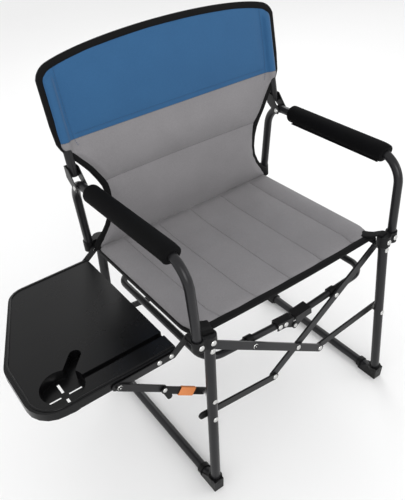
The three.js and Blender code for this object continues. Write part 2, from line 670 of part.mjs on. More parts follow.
/** Corners [x, y, radius] of a convex outline, moved inwards by an inset. */
function insetCorners(corners, inset) {
  const count = corners.length;
  const middle = corners.reduce((sum, [x, y]) => sum.add(new THREE.Vector2(x, y)), new THREE.Vector2())
    .divideScalar(count);
  const edges = corners.map(([x, y], i) => {
    const [nextX, nextY] = corners[(i + 1) % count];
    const along = new THREE.Vector2(nextX - x, nextY - y).normalize();
    const inward = new THREE.Vector2(-along.y, along.x);
    if (inward.dot(middle.clone().sub(new THREE.Vector2(x, y))) < 0) inward.negate();
    return { inward, reach: inward.x * x + inward.y * y + inset };
  });
  return corners.map(([, , radius], i) => {
    const a = edges[(i + count - 1) % count];
    const b = edges[i];
    const det = a.inward.x * b.inward.y - a.inward.y * b.inward.x;
    const x = (a.reach * b.inward.y - b.reach * a.inward.y) / det;
    const y = (a.inward.x * b.reach - b.inward.x * a.reach) / det;
    return [x, y, Math.max(radius - inset, 1)];
  });
}

/** The table's outline, moved inwards by an inset. */
function tableOutline(inset) {
  const { innerX, outerX, frontY, rearY, slantX, slantY } = TABLE;
  return roundedOutline(insetCorners([
    [innerX, frontY, TABLE.innerRound], [innerX, rearY, TABLE.innerRound], [slantX, rearY, TABLE.rearRound],
    [outerX, slantY, TABLE.slantRound], [outerX, frontY, TABLE.frontRound],
  ], inset));
}

function tableTop() {
  const { topZ, rim, sheet, cupX, cupY, cup, cupFloorZ, cupFloor, stemX, stemY, stem } = TABLE;
  const { innerX, slotY, slotWidth, slotDepth, drainNear, drainFar, drainHalf } = TABLE;
  const lowZ = topZ - rim;
  const stemRun = strip([[cupX, cupY], [stemX, stemY]], 2 * stem);
  const stemWall = strip([[cupX, cupY], [stemX, stemY]], 2 * (stem + sheet));
  const hollowed = cut(slab(tableOutline(0), lowZ, topZ), slab(tableOutline(sheet), lowZ - 1, topZ - sheet));
  const trough = block(
    point(cupX, slotY - slotWidth / 2 - sheet, topZ - slotDepth - sheet),
    point(innerX - sheet, slotY + slotWidth / 2 + sheet, topZ - 1),
  );
  const walled = join(
    hollowed,
    roundZ(cupX, cupY, cupFloorZ, topZ - 1, cup + sheet, 32),
    slab(stemWall, cupFloorZ, topZ - 1, 8),
    trough,
  );
  const drains = [0, Math.PI / 2].flatMap((turn) => [0, Math.PI].map((way) =>
    block(point(drainNear, -drainHalf, cupFloorZ - 5), point(drainFar, drainHalf, topZ))
      .rotateZ(turn + way).translate(cupX, cupY, 0)));
  return cut(
    walled,
    roundZ(cupX, cupY, cupFloorZ + cupFloor, topZ + 5, cup, 32),
    slab(stemRun, cupFloorZ + cupFloor, topZ + 5, 8),
    block(
      point(cupX, slotY - slotWidth / 2, topZ - slotDepth),
      point(innerX + 5, slotY + slotWidth / 2, topZ + 5),
    ),
    ...drains,
  );
}

function tableBar(centreline, lowY, holes) {
  const highY = lowY + TABLE_BAR.thickness;
  const drills = holes.map(([x, z]) => roundY(x, lowY - 1, highY + 1, z, PIN.hole));
  return cut(plate(strip(centreline, TABLE_BAR.width), lowY, highY, END_STEPS), ...drills);
}

const HINGE_POINT = [TABLE_HINGE.x, TABLE_HINGE.z];

function tableFrontBar() {
  const line = [[STRUT.topX - 6, TABLE_BAR.z], [TABLE_BAR.kneeX, TABLE_BAR.z], HINGE_POINT];
  return tableBar(line, TABLE.frontY - 1 - TABLE_BAR.thickness, [[STRUT.topX, STRUT.topZ], HINGE_POINT]);
}

function tableRearBar() {
  const tip = [TABLE.innerX - TABLE_BAR.rearReach, TABLE_BAR.z];
  const line = [tip, [TABLE_BAR.kneeX, TABLE_BAR.z], HINGE_POINT];
  return tableBar(line, TABLE.rearY + 0.4, [HINGE_POINT]);
}

add('table_top', tableTop(), TABLE_PLASTIC);
add('table_front_bar', tableFrontBar(), BLACK_STEEL);
add('table_rear_bar', tableRearBar(), BLACK_STEEL);

// ---------------------------------------------------------------- table strut

const STRUT_RUN = STRUT.topX + legX(STRUT.legZ);
const STRUT_LENGTH = Math.hypot(STRUT_RUN, STRUT.topZ - STRUT.legZ);
const STRUT_SLOPE = Math.atan2(STRUT.topZ - STRUT.legZ, -STRUT_RUN);
const STRUT_LOWER = STRUT_LENGTH - STRUT.upper;

/** The upper link, along +X from the rivet in the table bar, with that rivet on it. */
function strutUpper() {
  const body = plate(strip([[0, 0], [STRUT.upper, 0]], STRUT.width), 0, STRUT.thickness, END_STEPS);
  const reach = TABLE.frontY - 1 - STRUT.upperY;
  const pin = roundY(0, STRUT.thickness / 2, reach + 0.3, 0, PIN.shank);
  const head = turned([[0, -PIN.headHeight], [PIN.head * 0.7, -PIN.headHeight], [PIN.head, 0.5], [0, 0.5]]);
  return join(body, pin, head);
}

/** The lower link, along -X from the rivet in the leg, with a finger hook under its free end. */
function strutLower() {
  const span = STRUT_LOWER;
  const body = plate(strip([[0, 0], [span, 0]], STRUT.lowerWidth), 0, STRUT.thickness, END_STEPS);
  const hook = plate(strip([[span - 4, 3], [span - 20, 14]], 12), 0, STRUT.thickness, END_STEPS);
  return cut(join(body, hook), roundY(0, -1, STRUT.thickness + 1, 0, PIN.hole));
}

/** The orange grip, a channel clipped over the front and both edges, clear of the upper link. */
function strutGrip() {
  const { grip, gripStart, gripEnd, lowerWidth, thickness } = STRUT;
  const from = STRUT_LOWER - gripEnd;
  const to = STRUT_LOWER - gripStart;
  const half = lowerWidth / 2 + GAP;
  const sleeve = block(
    point(from, -GAP - grip, -half - grip),
    point(to, thickness, half + grip),
  );
  const bore = block(point(from - 1, -GAP, -half), point(to + 1, thickness + 1, half));
  return cut(sleeve, bore);
}

const upper = add('strut_upper_link', strutUpper(), BLACK_STEEL);
upper.position.set(STRUT.topX, STRUT.upperY, STRUT.topZ);
upper.rotation.y = STRUT_SLOPE;

const lowerStrut = new THREE.Group();
lowerStrut.position.set(-legX(STRUT.legZ), STRUT.lowerY, STRUT.legZ);
lowerStrut.rotation.y = STRUT_SLOPE + Math.PI;
chair.add(lowerStrut);
add('strut_lower_link', strutLower(), BLACK_PLASTIC, lowerStrut);
add('strut_grip', strutGrip(), ORANGE_RUBBER, lowerStrut);

const strutRivet = add('strut_leg_rivet',
  rivet(LEG_FACE, STRUT.lowerY + STRUT.thickness + GAP, [LEG_BACK, STRUT.lowerY - GAP]), STEEL);
strutRivet.position.set(-legX(STRUT.legZ), 0, STRUT.legZ);

// ---------------------------------------------------------------- origin

chair.updateMatrixWorld(true);
const box = new THREE.Box3().setFromObject(chair, true);
const centre = box.getCenter(new THREE.Vector3());
chair.position.set(-centre.x, -centre.y, -box.min.z);

export default chair;
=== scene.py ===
"""Looks of a folding camp chair with padded cloth, foam arms and a drop-leaf side table.

Sizes are millimetres in the chair's drawing frame: x from the middle of the chair, y back
from the front legs, z up from the floor. Drawing.at turns them to the row frame's metres.
"""
import json
import logging
import math
from dataclasses import dataclass, field
from enum import Enum
from typing import Callable, Iterable, Optional, Sequence

import bmesh
import bpy
from mathutils import Matrix, Vector, noise


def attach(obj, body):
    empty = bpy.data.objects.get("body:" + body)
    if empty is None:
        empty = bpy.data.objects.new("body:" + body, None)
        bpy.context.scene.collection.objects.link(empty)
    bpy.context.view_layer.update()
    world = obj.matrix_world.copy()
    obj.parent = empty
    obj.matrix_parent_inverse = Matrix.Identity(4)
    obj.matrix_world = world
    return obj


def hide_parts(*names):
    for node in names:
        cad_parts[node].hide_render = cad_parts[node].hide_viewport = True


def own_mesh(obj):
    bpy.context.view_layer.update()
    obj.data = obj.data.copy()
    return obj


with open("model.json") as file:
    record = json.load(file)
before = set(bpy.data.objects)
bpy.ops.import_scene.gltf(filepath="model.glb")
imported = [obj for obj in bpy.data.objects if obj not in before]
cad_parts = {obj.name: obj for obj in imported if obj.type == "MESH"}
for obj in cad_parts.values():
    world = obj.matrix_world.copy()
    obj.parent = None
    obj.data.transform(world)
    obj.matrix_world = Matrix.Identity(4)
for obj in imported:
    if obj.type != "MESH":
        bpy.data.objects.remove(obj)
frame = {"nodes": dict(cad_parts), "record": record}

LOG = logging.getLogger("camp_chair")
MM = 0.001
SMOOTH_ANGLE = math.radians(38)
FILLET_STEPS = 14
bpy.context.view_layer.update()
RECORD = frame["record"]
SLOT_OF = {part["node"]: part["material_slot"] for part in RECORD["subparts"]}
BODY_OF = {node: body for body, nodes in RECORD["behaviour"]["bodies"].items() for node in nodes}


# How far the right frame travels to the left one as the chair folds, and half the distances
# between the places that hold the seat and the back, in mm.
SEAT_SPAN = 248.0
BACK_SPAN = 279.0
# Where a saddle clip holds the seat frame, and the height of that frame's axis at the middle, in mm.
SADDLE_X, SADDLE_Z = 121.0, 341.5
RAIL_Z = 332.0


class Side(Enum):
    """Left and right as seen from the front; the value is the sign of x."""
    LEFT = -1
    RIGHT = 1

    @property
    def word(self) -> str:
        """The side's name in piece names."""
        return self.name.lower()


class End(Enum):
    """The front and the rear of the chair; the value is the way to the middle along y."""
    FRONT = 1
    REAR = -1

    @property
    def word(self) -> str:
        """The end's name in piece names."""
        return self.name.lower()


@dataclass(frozen=True)
class Drawing:
    """Turns drawing millimetres to row-frame metres."""
    shift: Vector

    @classmethod
    def from_record(cls) -> "Drawing":
        """Reads the shift off two pivots whose drawing places are known.

        Returns:
            The drawing with its shift to the row frame.
        """
        places = {joint["name"]: joint["pos_m"] for joint in RECORD["behaviour"]["joints"]}
        return cls(Vector((places["fold"][0] + 242 * MM, places["back_fold"][1] - 390 * MM, 0.0)))

    def at(self, x: float, y: float, z: float) -> Vector:
        """The row-frame point of a drawing point in millimetres."""
        return Vector((x, y, z)) * MM + self.shift


DRAWING = Drawing.from_record()
MIDDLE_Y = 226.5


def at_end(end: End, y: float) -> float:
    """A y drawn for the front, or its mirror image at the rear."""
    return y if end is End.FRONT else 2 * MIDDLE_Y - y


def leg_x(z: float) -> float:
    """Distance of a leg's axis from the middle of the chair at a height, both in mm."""
    return 242 + (423 - z) * 20 / 409


# ------------------------------------------------------------------ finishes


def linear(hex_colour: str) -> tuple[float, float, float, float]:
    """Turns an sRGB hex colour to linear RGBA.

    Args:
        hex_colour: The colour as "#RRGGBB".

    Returns:
        Linear red, green, blue and an alpha of one.
    """
    parts = [int(hex_colour[i:i + 2], 16) / 255 for i in (1, 3, 5)]
    return (*[c / 12.92 if c <= 0.04045 else ((c + 0.055) / 1.055) ** 2.4 for c in parts], 1.0)


def add_node(tree: bpy.types.NodeTree, kind: str, settings: Optional[dict] = None,
             links: Optional[dict] = None) -> bpy.types.Node:
    """Adds a node with its settings and the links into it.

    Args:
        tree: The tree that gets the node.
        kind: The node's type.
        settings: Property names or input names (or indices) and their values.
        links: Input names (or indices) and the output sockets that feed them.

    Returns:
        The new node.
    """
    made = tree.nodes.new(kind)
    for key, value in (settings or {}).items():
        if isinstance(key, str) and hasattr(made, key):
            setattr(made, key, value)
        else:
            made.inputs[key].default_value = value
    for key, source in (links or {}).items():
        tree.links.new(source, made.inputs[key])
    return made


@dataclass(frozen=True)
class Finish:
    """A surface made from a base colour with a slow tone change and a fine relief."""
    name: str
    colour: str
    second: str
    roughness: float
    roughness_range: float = 0.06
    grain_mm: float = 1.0
    relief_mm: float = 0.05
    patch_mm: float = 45.0
    metallic: float = 0.0
    coat: float = 0.0
    sheen: float = 0.0
    specular: float = 0.5

    def build(self) -> bpy.types.Material:
        """Makes the material.

        Returns:
            The material with its nodes.
        """
        material = bpy.data.materials.new(self.name)
        material.use_nodes = True
        tree = material.node_tree
        tree.nodes.clear()
        place = add_node(tree, "ShaderNodeTexCoord").outputs["Object"]
        shader = add_node(tree, "ShaderNodeBsdfPrincipled", {
            "Metallic": self.metallic, "Coat Weight": self.coat, "Coat Roughness": 0.25,
            "Sheen Weight": self.sheen, "Sheen Roughness": 0.45, "Specular IOR Level": self.specular,
        })
        add_node(tree, "ShaderNodeOutputMaterial", links={"Surface": shader.outputs["BSDF"]})
        self.dress(tree, shader, place)
        return material

    def patches(self, tree: bpy.types.NodeTree, place: bpy.types.NodeSocket) -> bpy.types.NodeSocket:
        """Slow patches from 0 to 1, as wear and dust leave them."""
        return add_node(tree, "ShaderNodeTexNoise", {"Scale": 1 / (self.patch_mm * MM), "Detail": 4.0},
                        {"Vector": place}).outputs["Fac"]

    def dress(self, tree: bpy.types.NodeTree, shader: bpy.types.Node,
              place: bpy.types.NodeSocket) -> None:
        """Lays colour, roughness and relief on the shader.

        Args:
            tree: The material's tree.
            shader: Its Principled shader.
            place: Object coordinates.
        """
        patches = self.patches(tree, place)
        tone = add_node(tree, "ShaderNodeMix",
                        {"data_type": "RGBA", 6: linear(self.colour), 7: linear(self.second)},
                        {0: patches})
        tree.links.new(tone.outputs[2], shader.inputs["Base Color"])
        gloss = add_node(tree, "ShaderNodeMapRange", {
            "To Min": self.roughness - self.roughness_range,
            "To Max": self.roughness + self.roughness_range,
        }, {"Value": patches})
        tree.links.new(gloss.outputs["Result"], shader.inputs["Roughness"])
        grain = add_node(tree, "ShaderNodeTexNoise", {"Scale": 1 / (self.grain_mm * MM), "Detail": 3.0},
                         {"Vector": place})
        bump = add_node(tree, "ShaderNodeBump", {"Strength": 0.7, "Distance": self.relief_mm * MM},
                        {"Height": grain.outputs["Fac"]})
        tree.links.new(bump.outputs["Normal"], shader.inputs["Normal"])


@dataclass(frozen=True)
class PittedFoam(Finish):
    """Closed-cell foam: matt black with small open pits all over."""
    pit_mm: float = 2.2

    def dress(self, tree: bpy.types.NodeTree, shader: bpy.types.Node,
              place: bpy.types.NodeSocket) -> None:
        """Adds pits to the plain relief."""
        super().dress(tree, shader, place)
        pits = add_node(tree, "ShaderNodeTexVoronoi", {"Scale": 1 / (self.pit_mm * MM)},
                        {"Vector": place})
        rim = add_node(tree, "ShaderNodeMapRange", {"From Max": 0.45, "To Max": 1.0},
                       {"Value": pits.outputs["Distance"]})
        under = shader.inputs["Normal"].links[0].from_node
        bump = add_node(tree, "ShaderNodeBump", {"Strength": 0.5, "Distance": 0.25 * MM},
                        {"Height": rim.outputs["Result"], "Normal": under.outputs["Normal"]})
        tree.links.new(bump.outputs["Normal"], shader.inputs["Normal"])


@dataclass(frozen=True)
class WovenCloth(Finish):
    """Plain-woven polyester: crossing threads, slubs and a heathered tone.

    Real threads lie about 0.6 mm apart; they are drawn at thread_mm so that they show.
    """
    thread_mm: float = 2.0
    heather: float = 0.25

    def dress(self, tree: bpy.types.NodeTree, shader: bpy.types.Node,
              place: bpy.types.NodeSocket) -> None:
        """Crosses two sets of threads for relief and mixes their shade into the colour."""
        apart = add_node(tree, "ShaderNodeSeparateXYZ", links={0: place})
        fall = add_node(tree, "ShaderNodeMath", {"operation": "ADD"},
                        {0: apart.outputs["Y"], 1: apart.outputs["Z"]})
        turns = 2 * math.pi / (self.thread_mm * MM)
        threads = []
        for source in (apart.outputs["X"], fall.outputs[0]):
            phase = add_node(tree, "ShaderNodeMath", {"operation": "MULTIPLY", 1: turns}, {0: source})
            threads.append(add_node(tree, "ShaderNodeMath", {"operation": "SINE"}, {0: phase.outputs[0]}))
        weave = add_node(tree, "ShaderNodeMath", {"operation": "MULTIPLY"},
                         {0: threads[0].outputs[0], 1: threads[1].outputs[0]})
        slubs = add_node(tree, "ShaderNodeTexNoise", {"Scale": 1 / (2.6 * MM), "Detail": 2.0},
                         {"Vector": place})
        patches = self.patches(tree, place)
        fleck = add_node(tree, "ShaderNodeMapRange",
                         {"From Min": 0.3, "From Max": 0.7, "To Max": self.heather},
                         {"Value": slubs.outputs["Fac"]})
        lift = add_node(tree, "ShaderNodeMapRange", {"From Min": -1.0, "To Max": 0.18},
                        {"Value": weave.outputs[0]})
        mixed = add_node(tree, "ShaderNodeMath", {"operation": "ADD"},
                         {0: fleck.outputs["Result"], 1: lift.outputs["Result"]})
        spread = add_node(tree, "ShaderNodeMath", {"operation": "MULTIPLY_ADD", 1: 0.45},
                          {0: patches, 2: mixed.outputs[0]})
        tone = add_node(tree, "ShaderNodeMix",
                        {"data_type": "RGBA", 6: linear(self.colour), 7: linear(self.second)},
                        {0: spread.outputs[0]})
        tree.links.new(tone.outputs[2], shader.inputs["Base Color"])
        shader.inputs["Roughness"].default_value = self.roughness
        shape = add_node(tree, "ShaderNodeMath", {"operation": "MULTIPLY_ADD", 1: 0.5},
                         {0: weave.outputs[0], 2: slubs.outputs["Fac"]})
        bump = add_node(tree, "ShaderNodeBump", {"Strength": 0.55, "Distance": self.relief_mm * MM},
                        {"Height": shape.outputs[0]})
        tree.links.new(bump.outputs["Normal"], shader.inputs["Normal"])


class Finishes:
    """Every finish of the chair, built once."""

    def __init__(self) -> None:
        """Builds the materials."""
        # Powder coat on steel tube: charcoal, satin, with the fine orange peel of baked powder.
        self.powder_coat = Finish("powder_coat_charcoal", "#161618", "#1F1F21", 0.3, 0.05, 1.6, 0.05,
                                  60, 0.1, 0.0, specular=0.3).build()
        # Zinc-plated rivets: bright, slightly brushed steel with dull patches.
        self.plated_steel = Finish("zinc_plated_steel", "#D8D8D6", "#B4B4B2", 0.28, 0.08, 0.8, 0.02,
                                   6, 1.0).build()
        # Painted strip steel of the links and leaves: darker and flatter than the tubes.
        self.painted_strip = Finish("painted_strip_steel", "#131314", "#1C1C1D", 0.38, 0.07, 1.2, 0.04,
                                    40, 0.1, specular=0.3).build()
        # Glass-filled nylon, moulded with a spark-eroded grain: deep black, half matt.
        self.moulded_nylon = Finish("moulded_nylon_black", "#070708", "#0E0E0F", 0.44, 0.07, 0.9, 0.08,
                                    30, specular=0.2).build()
        # Injection-moulded polypropylene of the table: fine leather-like grain, satin.
        self.moulded_table = Finish("moulded_polypropylene_black", "#070708", "#0C0C0D", 0.28, 0.05, 1.8,
                                    0.03, 90, specular=0.2).build()
        # Closed-cell EVA foam of the arm grips.
        self.grip_foam = PittedFoam("eva_foam_black", "#050506", "#0B0B0C", 0.8, 0.08, 1.4, 0.15, 35,
                                    specular=0.08).build()
        # Overmoulded thermoplastic rubber of the strut grip: soft orange, matt.
        self.orange_rubber = Finish("moulded_rubber_orange", "#BE6B33", "#CB7F47", 0.58, 0.06, 1.0, 0.06,
                                    12).build()
        # 600-denier polyester, heathered grey, over the padding.
        self.grey_cloth = WovenCloth("woven_polyester_grey", "#6F6D6F", "#888688", 0.88, 0.0, 1.0, 0.22,
                                     70, sheen=0.12).build()
        # The same cloth dyed blue, for the head of the back.
        self.blue_cloth = WovenCloth("woven_polyester_blue", "#194A74", "#275A84", 0.86, 0.0, 1.0, 0.22,
                                     70, sheen=0.12).build()
        # Grosgrain edge binding and webbing: black, ribbed, faintly shiny on the ribs.
        self.binding = WovenCloth("grosgrain_binding_black", "#040405", "#0D0D0E", 0.78, 0.0, 1.0, 0.25,
                                  40, sheen=0.02, specular=0.15, thread_mm=2.4).build()
        # Bonded polyester thread, a shade darker than the grey cloth, drawn down into the padding.
        self.grey_thread = Finish("polyester_thread_grey", "#454345", "#565456", 0.7, 0.05, 0.6, 0.02,
                                  8).build()
        # The same thread in navy, beside the sleeves of the blue cloth.
        self.blue_thread = Finish("polyester_thread_blue", "#1B3858", "#264A70", 0.65, 0.05, 0.6, 0.02,
                                  8).build()
        self.of_slot = {
            "frame_coat": self.powder_coat, "rivet_steel": self.plated_steel,
            "black_steel": self.painted_strip,
            "moulded_black": self.moulded_nylon, "grip_foam": self.grip_foam,
            "table_plastic": self.moulded_table,
            "orange_rubber": self.orange_rubber, "grey_fabric": self.grey_cloth,
            "blue_fabric": self.blue_cloth,
        }


# ------------------------------------------------------------------ mesh helpers


def new_piece(name: str, vertices: Sequence[Vector], faces: Sequence[Sequence[int]],
              edges: Sequence[Sequence[int]] = ()) -> bpy.types.Object:
    """Makes a mesh object at the origin from points in the row frame.

    Args:
        name: The piece's name.
        vertices: Points in metres.
        faces: Vertex indices of each face.
        edges: Vertex indices of each loose edge.

    Returns:
        The linked object.
    """
    mesh = bpy.data.meshes.new(name)
    mesh.from_pydata([tuple(v) for v in vertices], list(edges), list(faces))
    mesh.update()
    piece = bpy.data.objects.new(name, mesh)
    bpy.context.scene.collection.objects.link(piece)
    return piece


def baked(piece: bpy.types.Object) -> bpy.types.Object:
    """Applies every modifier to the piece's own mesh.

    Args:
        piece: The object with live modifiers.

    Returns:
        The same object with a plain mesh.
    """
    depsgraph = bpy.context.evaluated_depsgraph_get()
    mesh = bpy.data.meshes.new_from_object(piece.evaluated_get(depsgraph), depsgraph=depsgraph)
    piece.modifiers.clear()
    piece.data = mesh
    mesh.name = piece.name
    return piece


def smoothed(piece: bpy.types.Object) -> bpy.types.Object:
    """Shades a piece smooth, with sharp edges where it turns by more than the usual angle."""
    piece.data.polygons.foreach_set("use_smooth", [True] * len(piece.data.polygons))
    piece.data.set_sharp_from_angle(angle=SMOOTH_ANGLE)
    return piece


def faced_outward(piece: bpy.types.Object) -> bpy.types.Object:
    """Turns the faces of a closed mesh outward."""
    work = bmesh.new()
    work.from_mesh(piece.data)
    bmesh.ops.recalc_face_normals(work, faces=work.faces)
    work.to_mesh(piece.data)
    work.free()
    return piece


def placed(piece: bpy.types.Object, body: str, slot: str, material: Optional[bpy.types.Material],
           stands_for: Iterable[str] = ()) -> bpy.types.Object:
    """Gives a finished piece its material and body.

    Args:
        piece: The finished piece.
        body: The CAD body it rides on.
        slot: The record's material slot; not used.
        material: Its material, or None when the faces carry their own already.
        stands_for: CAD nodes it replaces.

    Returns:
        The piece.
    """
    if material is not None:
        piece.data.materials.clear()
        piece.data.materials.append(material)
    nodes = list(stands_for)
    if nodes:
        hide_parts(*nodes)
    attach(piece, body)
    LOG.info("%s: %d faces on %s", piece.name, len(piece.data.polygons), body)
    return piece


def fillet(before: Vector, corner: Vector, after: Vector, radius: float) -> list[Vector]:
    """Points of the arc that rounds a corner.

    Args:
        before: The point before the corner.
        corner: The corner.
        after: The point after it.
        radius: The arc's radius, in the points' unit.

    Returns:
        The arc's points, from first to last.
    """
    back, on = (before - corner).normalized(), (after - corner).normalized()
    half = back.angle(on) / 2
    centre = corner + (back + on).normalized() * radius / math.sin(half)
    start = corner + back * radius / math.tan(half) - centre
    end = corner + on * radius / math.tan(half) - centre
    sweep, axis = start.angle(end), start.cross(end).normalized()
    return [centre + Matrix.Rotation(sweep * k / FILLET_STEPS, 3, axis) @ start
            for k in range(FILLET_STEPS + 1)]


def bent_line(corners: Sequence[tuple[float, float, float]], radius: float) -> list[Vector]:
    """A centreline in drawing millimetres, straight between corners and rounded at them.

    Args:
        corners: The line's ends and inner corners.
        radius: The bend's radius.

    Returns:
        The line's points.
    """
    points = [Vector(c) for c in corners]
    line = [points[0]]
    for i in range(1, len(points) - 1):
        line += fillet(points[i - 1], points[i], points[i + 1], radius)
    return [*line, points[-1]]


def along(line: Sequence[Vector], step: float) -> list[Vector]:
    """Points at even steps along a line, its corners left out.

    Args:
        line: The line's points.
        step: The wanted spacing, in the points' unit.

    Returns:
        The even points, both ends included.
    """
    lengths = [0.0]
    for a, b in zip(line, line[1:]):
        lengths.append(lengths[-1] + (b - a).length)
    count = max(2, round(lengths[-1] / step))
    found, i = [], 0
    for k in range(count + 1):
        reach = lengths[-1] * k / count
        while i < len(line) - 2 and lengths[i + 1] < reach:
            i += 1
        share = (reach - lengths[i]) / max(lengths[i + 1] - lengths[i], 1e-9)
        found.append(line[i].lerp(line[i + 1], min(share, 1.0)))
    return found


# ------------------------------------------------------------------ repeated and swept shapes


class NodeRecipe:
    """A Geometry Nodes tree that turns a line or points into a plain mesh."""

    def __init__(self, name: str, sizes: dict[str, tuple[str, float]]) -> None:
        """Starts the tree with a geometry input, sizes and a material.

        Args:
            name: The tree's name.
            sizes: Input names with their socket type and default.
        """
        self.tree = bpy.data.node_groups.new(name, "GeometryNodeTree")
        face = self.tree.interface
        face.new_socket(name="Path", in_out="INPUT", socket_type="NodeSocketGeometry")
        for label, (kind, value) in sizes.items():
            face.new_socket(name=label, in_out="INPUT", socket_type=kind).default_value = value
        face.new_socket(name="Finish", in_out="INPUT", socket_type="NodeSocketMaterial")
        face.new_socket(name="Mesh", in_out="OUTPUT", socket_type="NodeSocketGeometry")
        self.given = add_node(self.tree, "NodeGroupInput").outputs

    def finish(self, shape: bpy.types.NodeSocket) -> None:
        """Ends the tree: real instances, then the material."""
        real = add_node(self.tree, "GeometryNodeRealizeInstances", links={0: shape})
        dressed = add_node(self.tree, "GeometryNodeSetMaterial", links={
            "Geometry": real.outputs[0], "Material": self.given["Finish"]})
        add_node(self.tree, "NodeGroupOutput", links={"Mesh": dressed.outputs[0]})

    def grow(self, piece: bpy.types.Object, material: bpy.types.Material,
             **sizes: float) -> bpy.types.Object:
        """Runs the tree on a piece and keeps the plain mesh.

        Args:
            piece: The object that holds the path or points.
            material: The finish.
            **sizes: Values of the named inputs, with spaces written as underscores.

        Returns:
            The piece with its new mesh.
        """
        modifier = piece.modifiers.new(self.tree.name, "NODES")
        modifier.node_group = self.tree
        wanted = {label.replace("_", " "): value for label, value in sizes.items()} | {"Finish": material}
        for item in self.tree.interface.items_tree:
            if item.item_type == "SOCKET" and item.in_out == "INPUT" and item.name in wanted:
                modifier[item.identifier] = wanted[item.name]
        return baked(piece)


class SweptTube(NodeRecipe):
    """A round tube along a line, thinner or thicker where the point attribute "girth" says."""

    def __init__(self) -> None:
        """Builds the tree."""
        super().__init__("swept_tube",
                         {"Radius": ("NodeSocketFloat", 0.01), "Sides": ("NodeSocketInt", 20)})
        tree = self.tree
        girth = add_node(tree, "GeometryNodeInputNamedAttribute", {"data_type": "FLOAT", "Name": "girth"})
        curve = add_node(tree, "GeometryNodeMeshToCurve", links={"Mesh": self.given["Path"]})
        ring = add_node(tree, "GeometryNodeCurvePrimitiveCircle", links={
            "Radius": self.given["Radius"], "Resolution": self.given["Sides"]})
        skin = add_node(tree, "GeometryNodeCurveToMesh", {"Fill Caps": True}, {
            "Curve": curve.outputs[0], "Profile Curve": ring.outputs["Curve"], "Scale": girth.outputs[0]})
        self.finish(skin.outputs[0])

    def make(self, name: str, line: Sequence[Vector], radius_mm: float, material: bpy.types.Material,
             sides: int = 22, rounding_mm: float = 0.8) -> bpy.types.Object:
        """Sweeps a tube with slightly rounded ends.

        Args:
            name: The piece's name.
            line: Centreline in drawing millimetres.
            radius_mm: The tube's outer radius.
            material: Its finish.
            sides: Facets round the tube.
            rounding_mm: Radius of the rounding at each end.

        Returns:
            The tube.
        """
        start, end = line[0], line[-1]
        ahead, behind = (line[1] - start).normalized(), (line[-2] - end).normalized()
        lead, girth = [], []
        for k in range(4):
            angle = (k / 4) * math.pi / 2
            lead.append(rounding_mm * (1 - math.cos(angle)))
            girth.append(1 - rounding_mm * (1 - math.sin(angle)) / radius_mm)
        lead.append(rounding_mm)
        girth.append(1.0)
        points = ([start + ahead * d for d in lead] + list(line[1:-1])
                  + [end + behind * d for d in reversed(lead)])
        widths = girth + [1.0] * (len(line) - 2) + girth[::-1]
        piece = new_piece(name, [DRAWING.at(*p) for p in points], [],
                          [(i, i + 1) for i in range(len(points) - 1)])
        piece.data.attributes.new("girth", "FLOAT", "POINT").data.foreach_set("value", widths)
        return smoothed(faced_outward(self.grow(piece, material, Radius=radius_mm * MM, Sides=sides)))


class DomedHeads(NodeRecipe):
    """Flattened domes on points, each facing its point's "facing" direction."""

    def __init__(self) -> None:
        """Builds the tree."""
        super().__init__("domed_heads",
                         {"Radius": ("NodeSocketFloat", 0.006), "Height": ("NodeSocketFloat", 0.002)})
        tree = self.tree
        facing = add_node(tree, "GeometryNodeInputNamedAttribute",
                          {"data_type": "FLOAT_VECTOR", "Name": "facing"})
        turn = add_node(tree, "FunctionNodeAlignRotationToVector", {"axis": "Z"},
                        {"Vector": facing.outputs[0]})
        ball = add_node(tree, "GeometryNodeMeshUVSphere", {"Segments": 14, "Rings": 8, "Radius": 1.0})
        size = add_node(tree, "ShaderNodeCombineXYZ", links={
            0: self.given["Radius"], 1: self.given["Radius"], 2: self.given["Height"]})
        heads = add_node(tree, "GeometryNodeInstanceOnPoints", links={
            "Points": self.given["Path"], "Instance": ball.outputs["Mesh"], "Rotation": turn.outputs[0],
            "Scale": size.outputs[0]})
        self.finish(heads.outputs[0])

    def make(self, name: str, places: Sequence[tuple[Vector, Vector]], radius_mm: float, height_mm: float,
             material: bpy.types.Material) -> bpy.types.Object:
        """Sets heads at the given places.

        Args:
            name: The piece's name.
            places: Each head's foot in drawing millimetres and the way it faces.
            radius_mm: The heads' radius.
            height_mm: Their height over the surface.
            material: Their finish.

        Returns:
            One mesh with every head.
        """
        piece = new_piece(name, [DRAWING.at(*p) for p, _ in places], [])
        flat = [c for _, way in places for c in way]
        piece.data.attributes.new("facing", "FLOAT_VECTOR", "POINT").data.foreach_set("vector", flat)
        return smoothed(self.grow(piece, material, Radius=radius_mm * MM, Height=height_mm * MM))


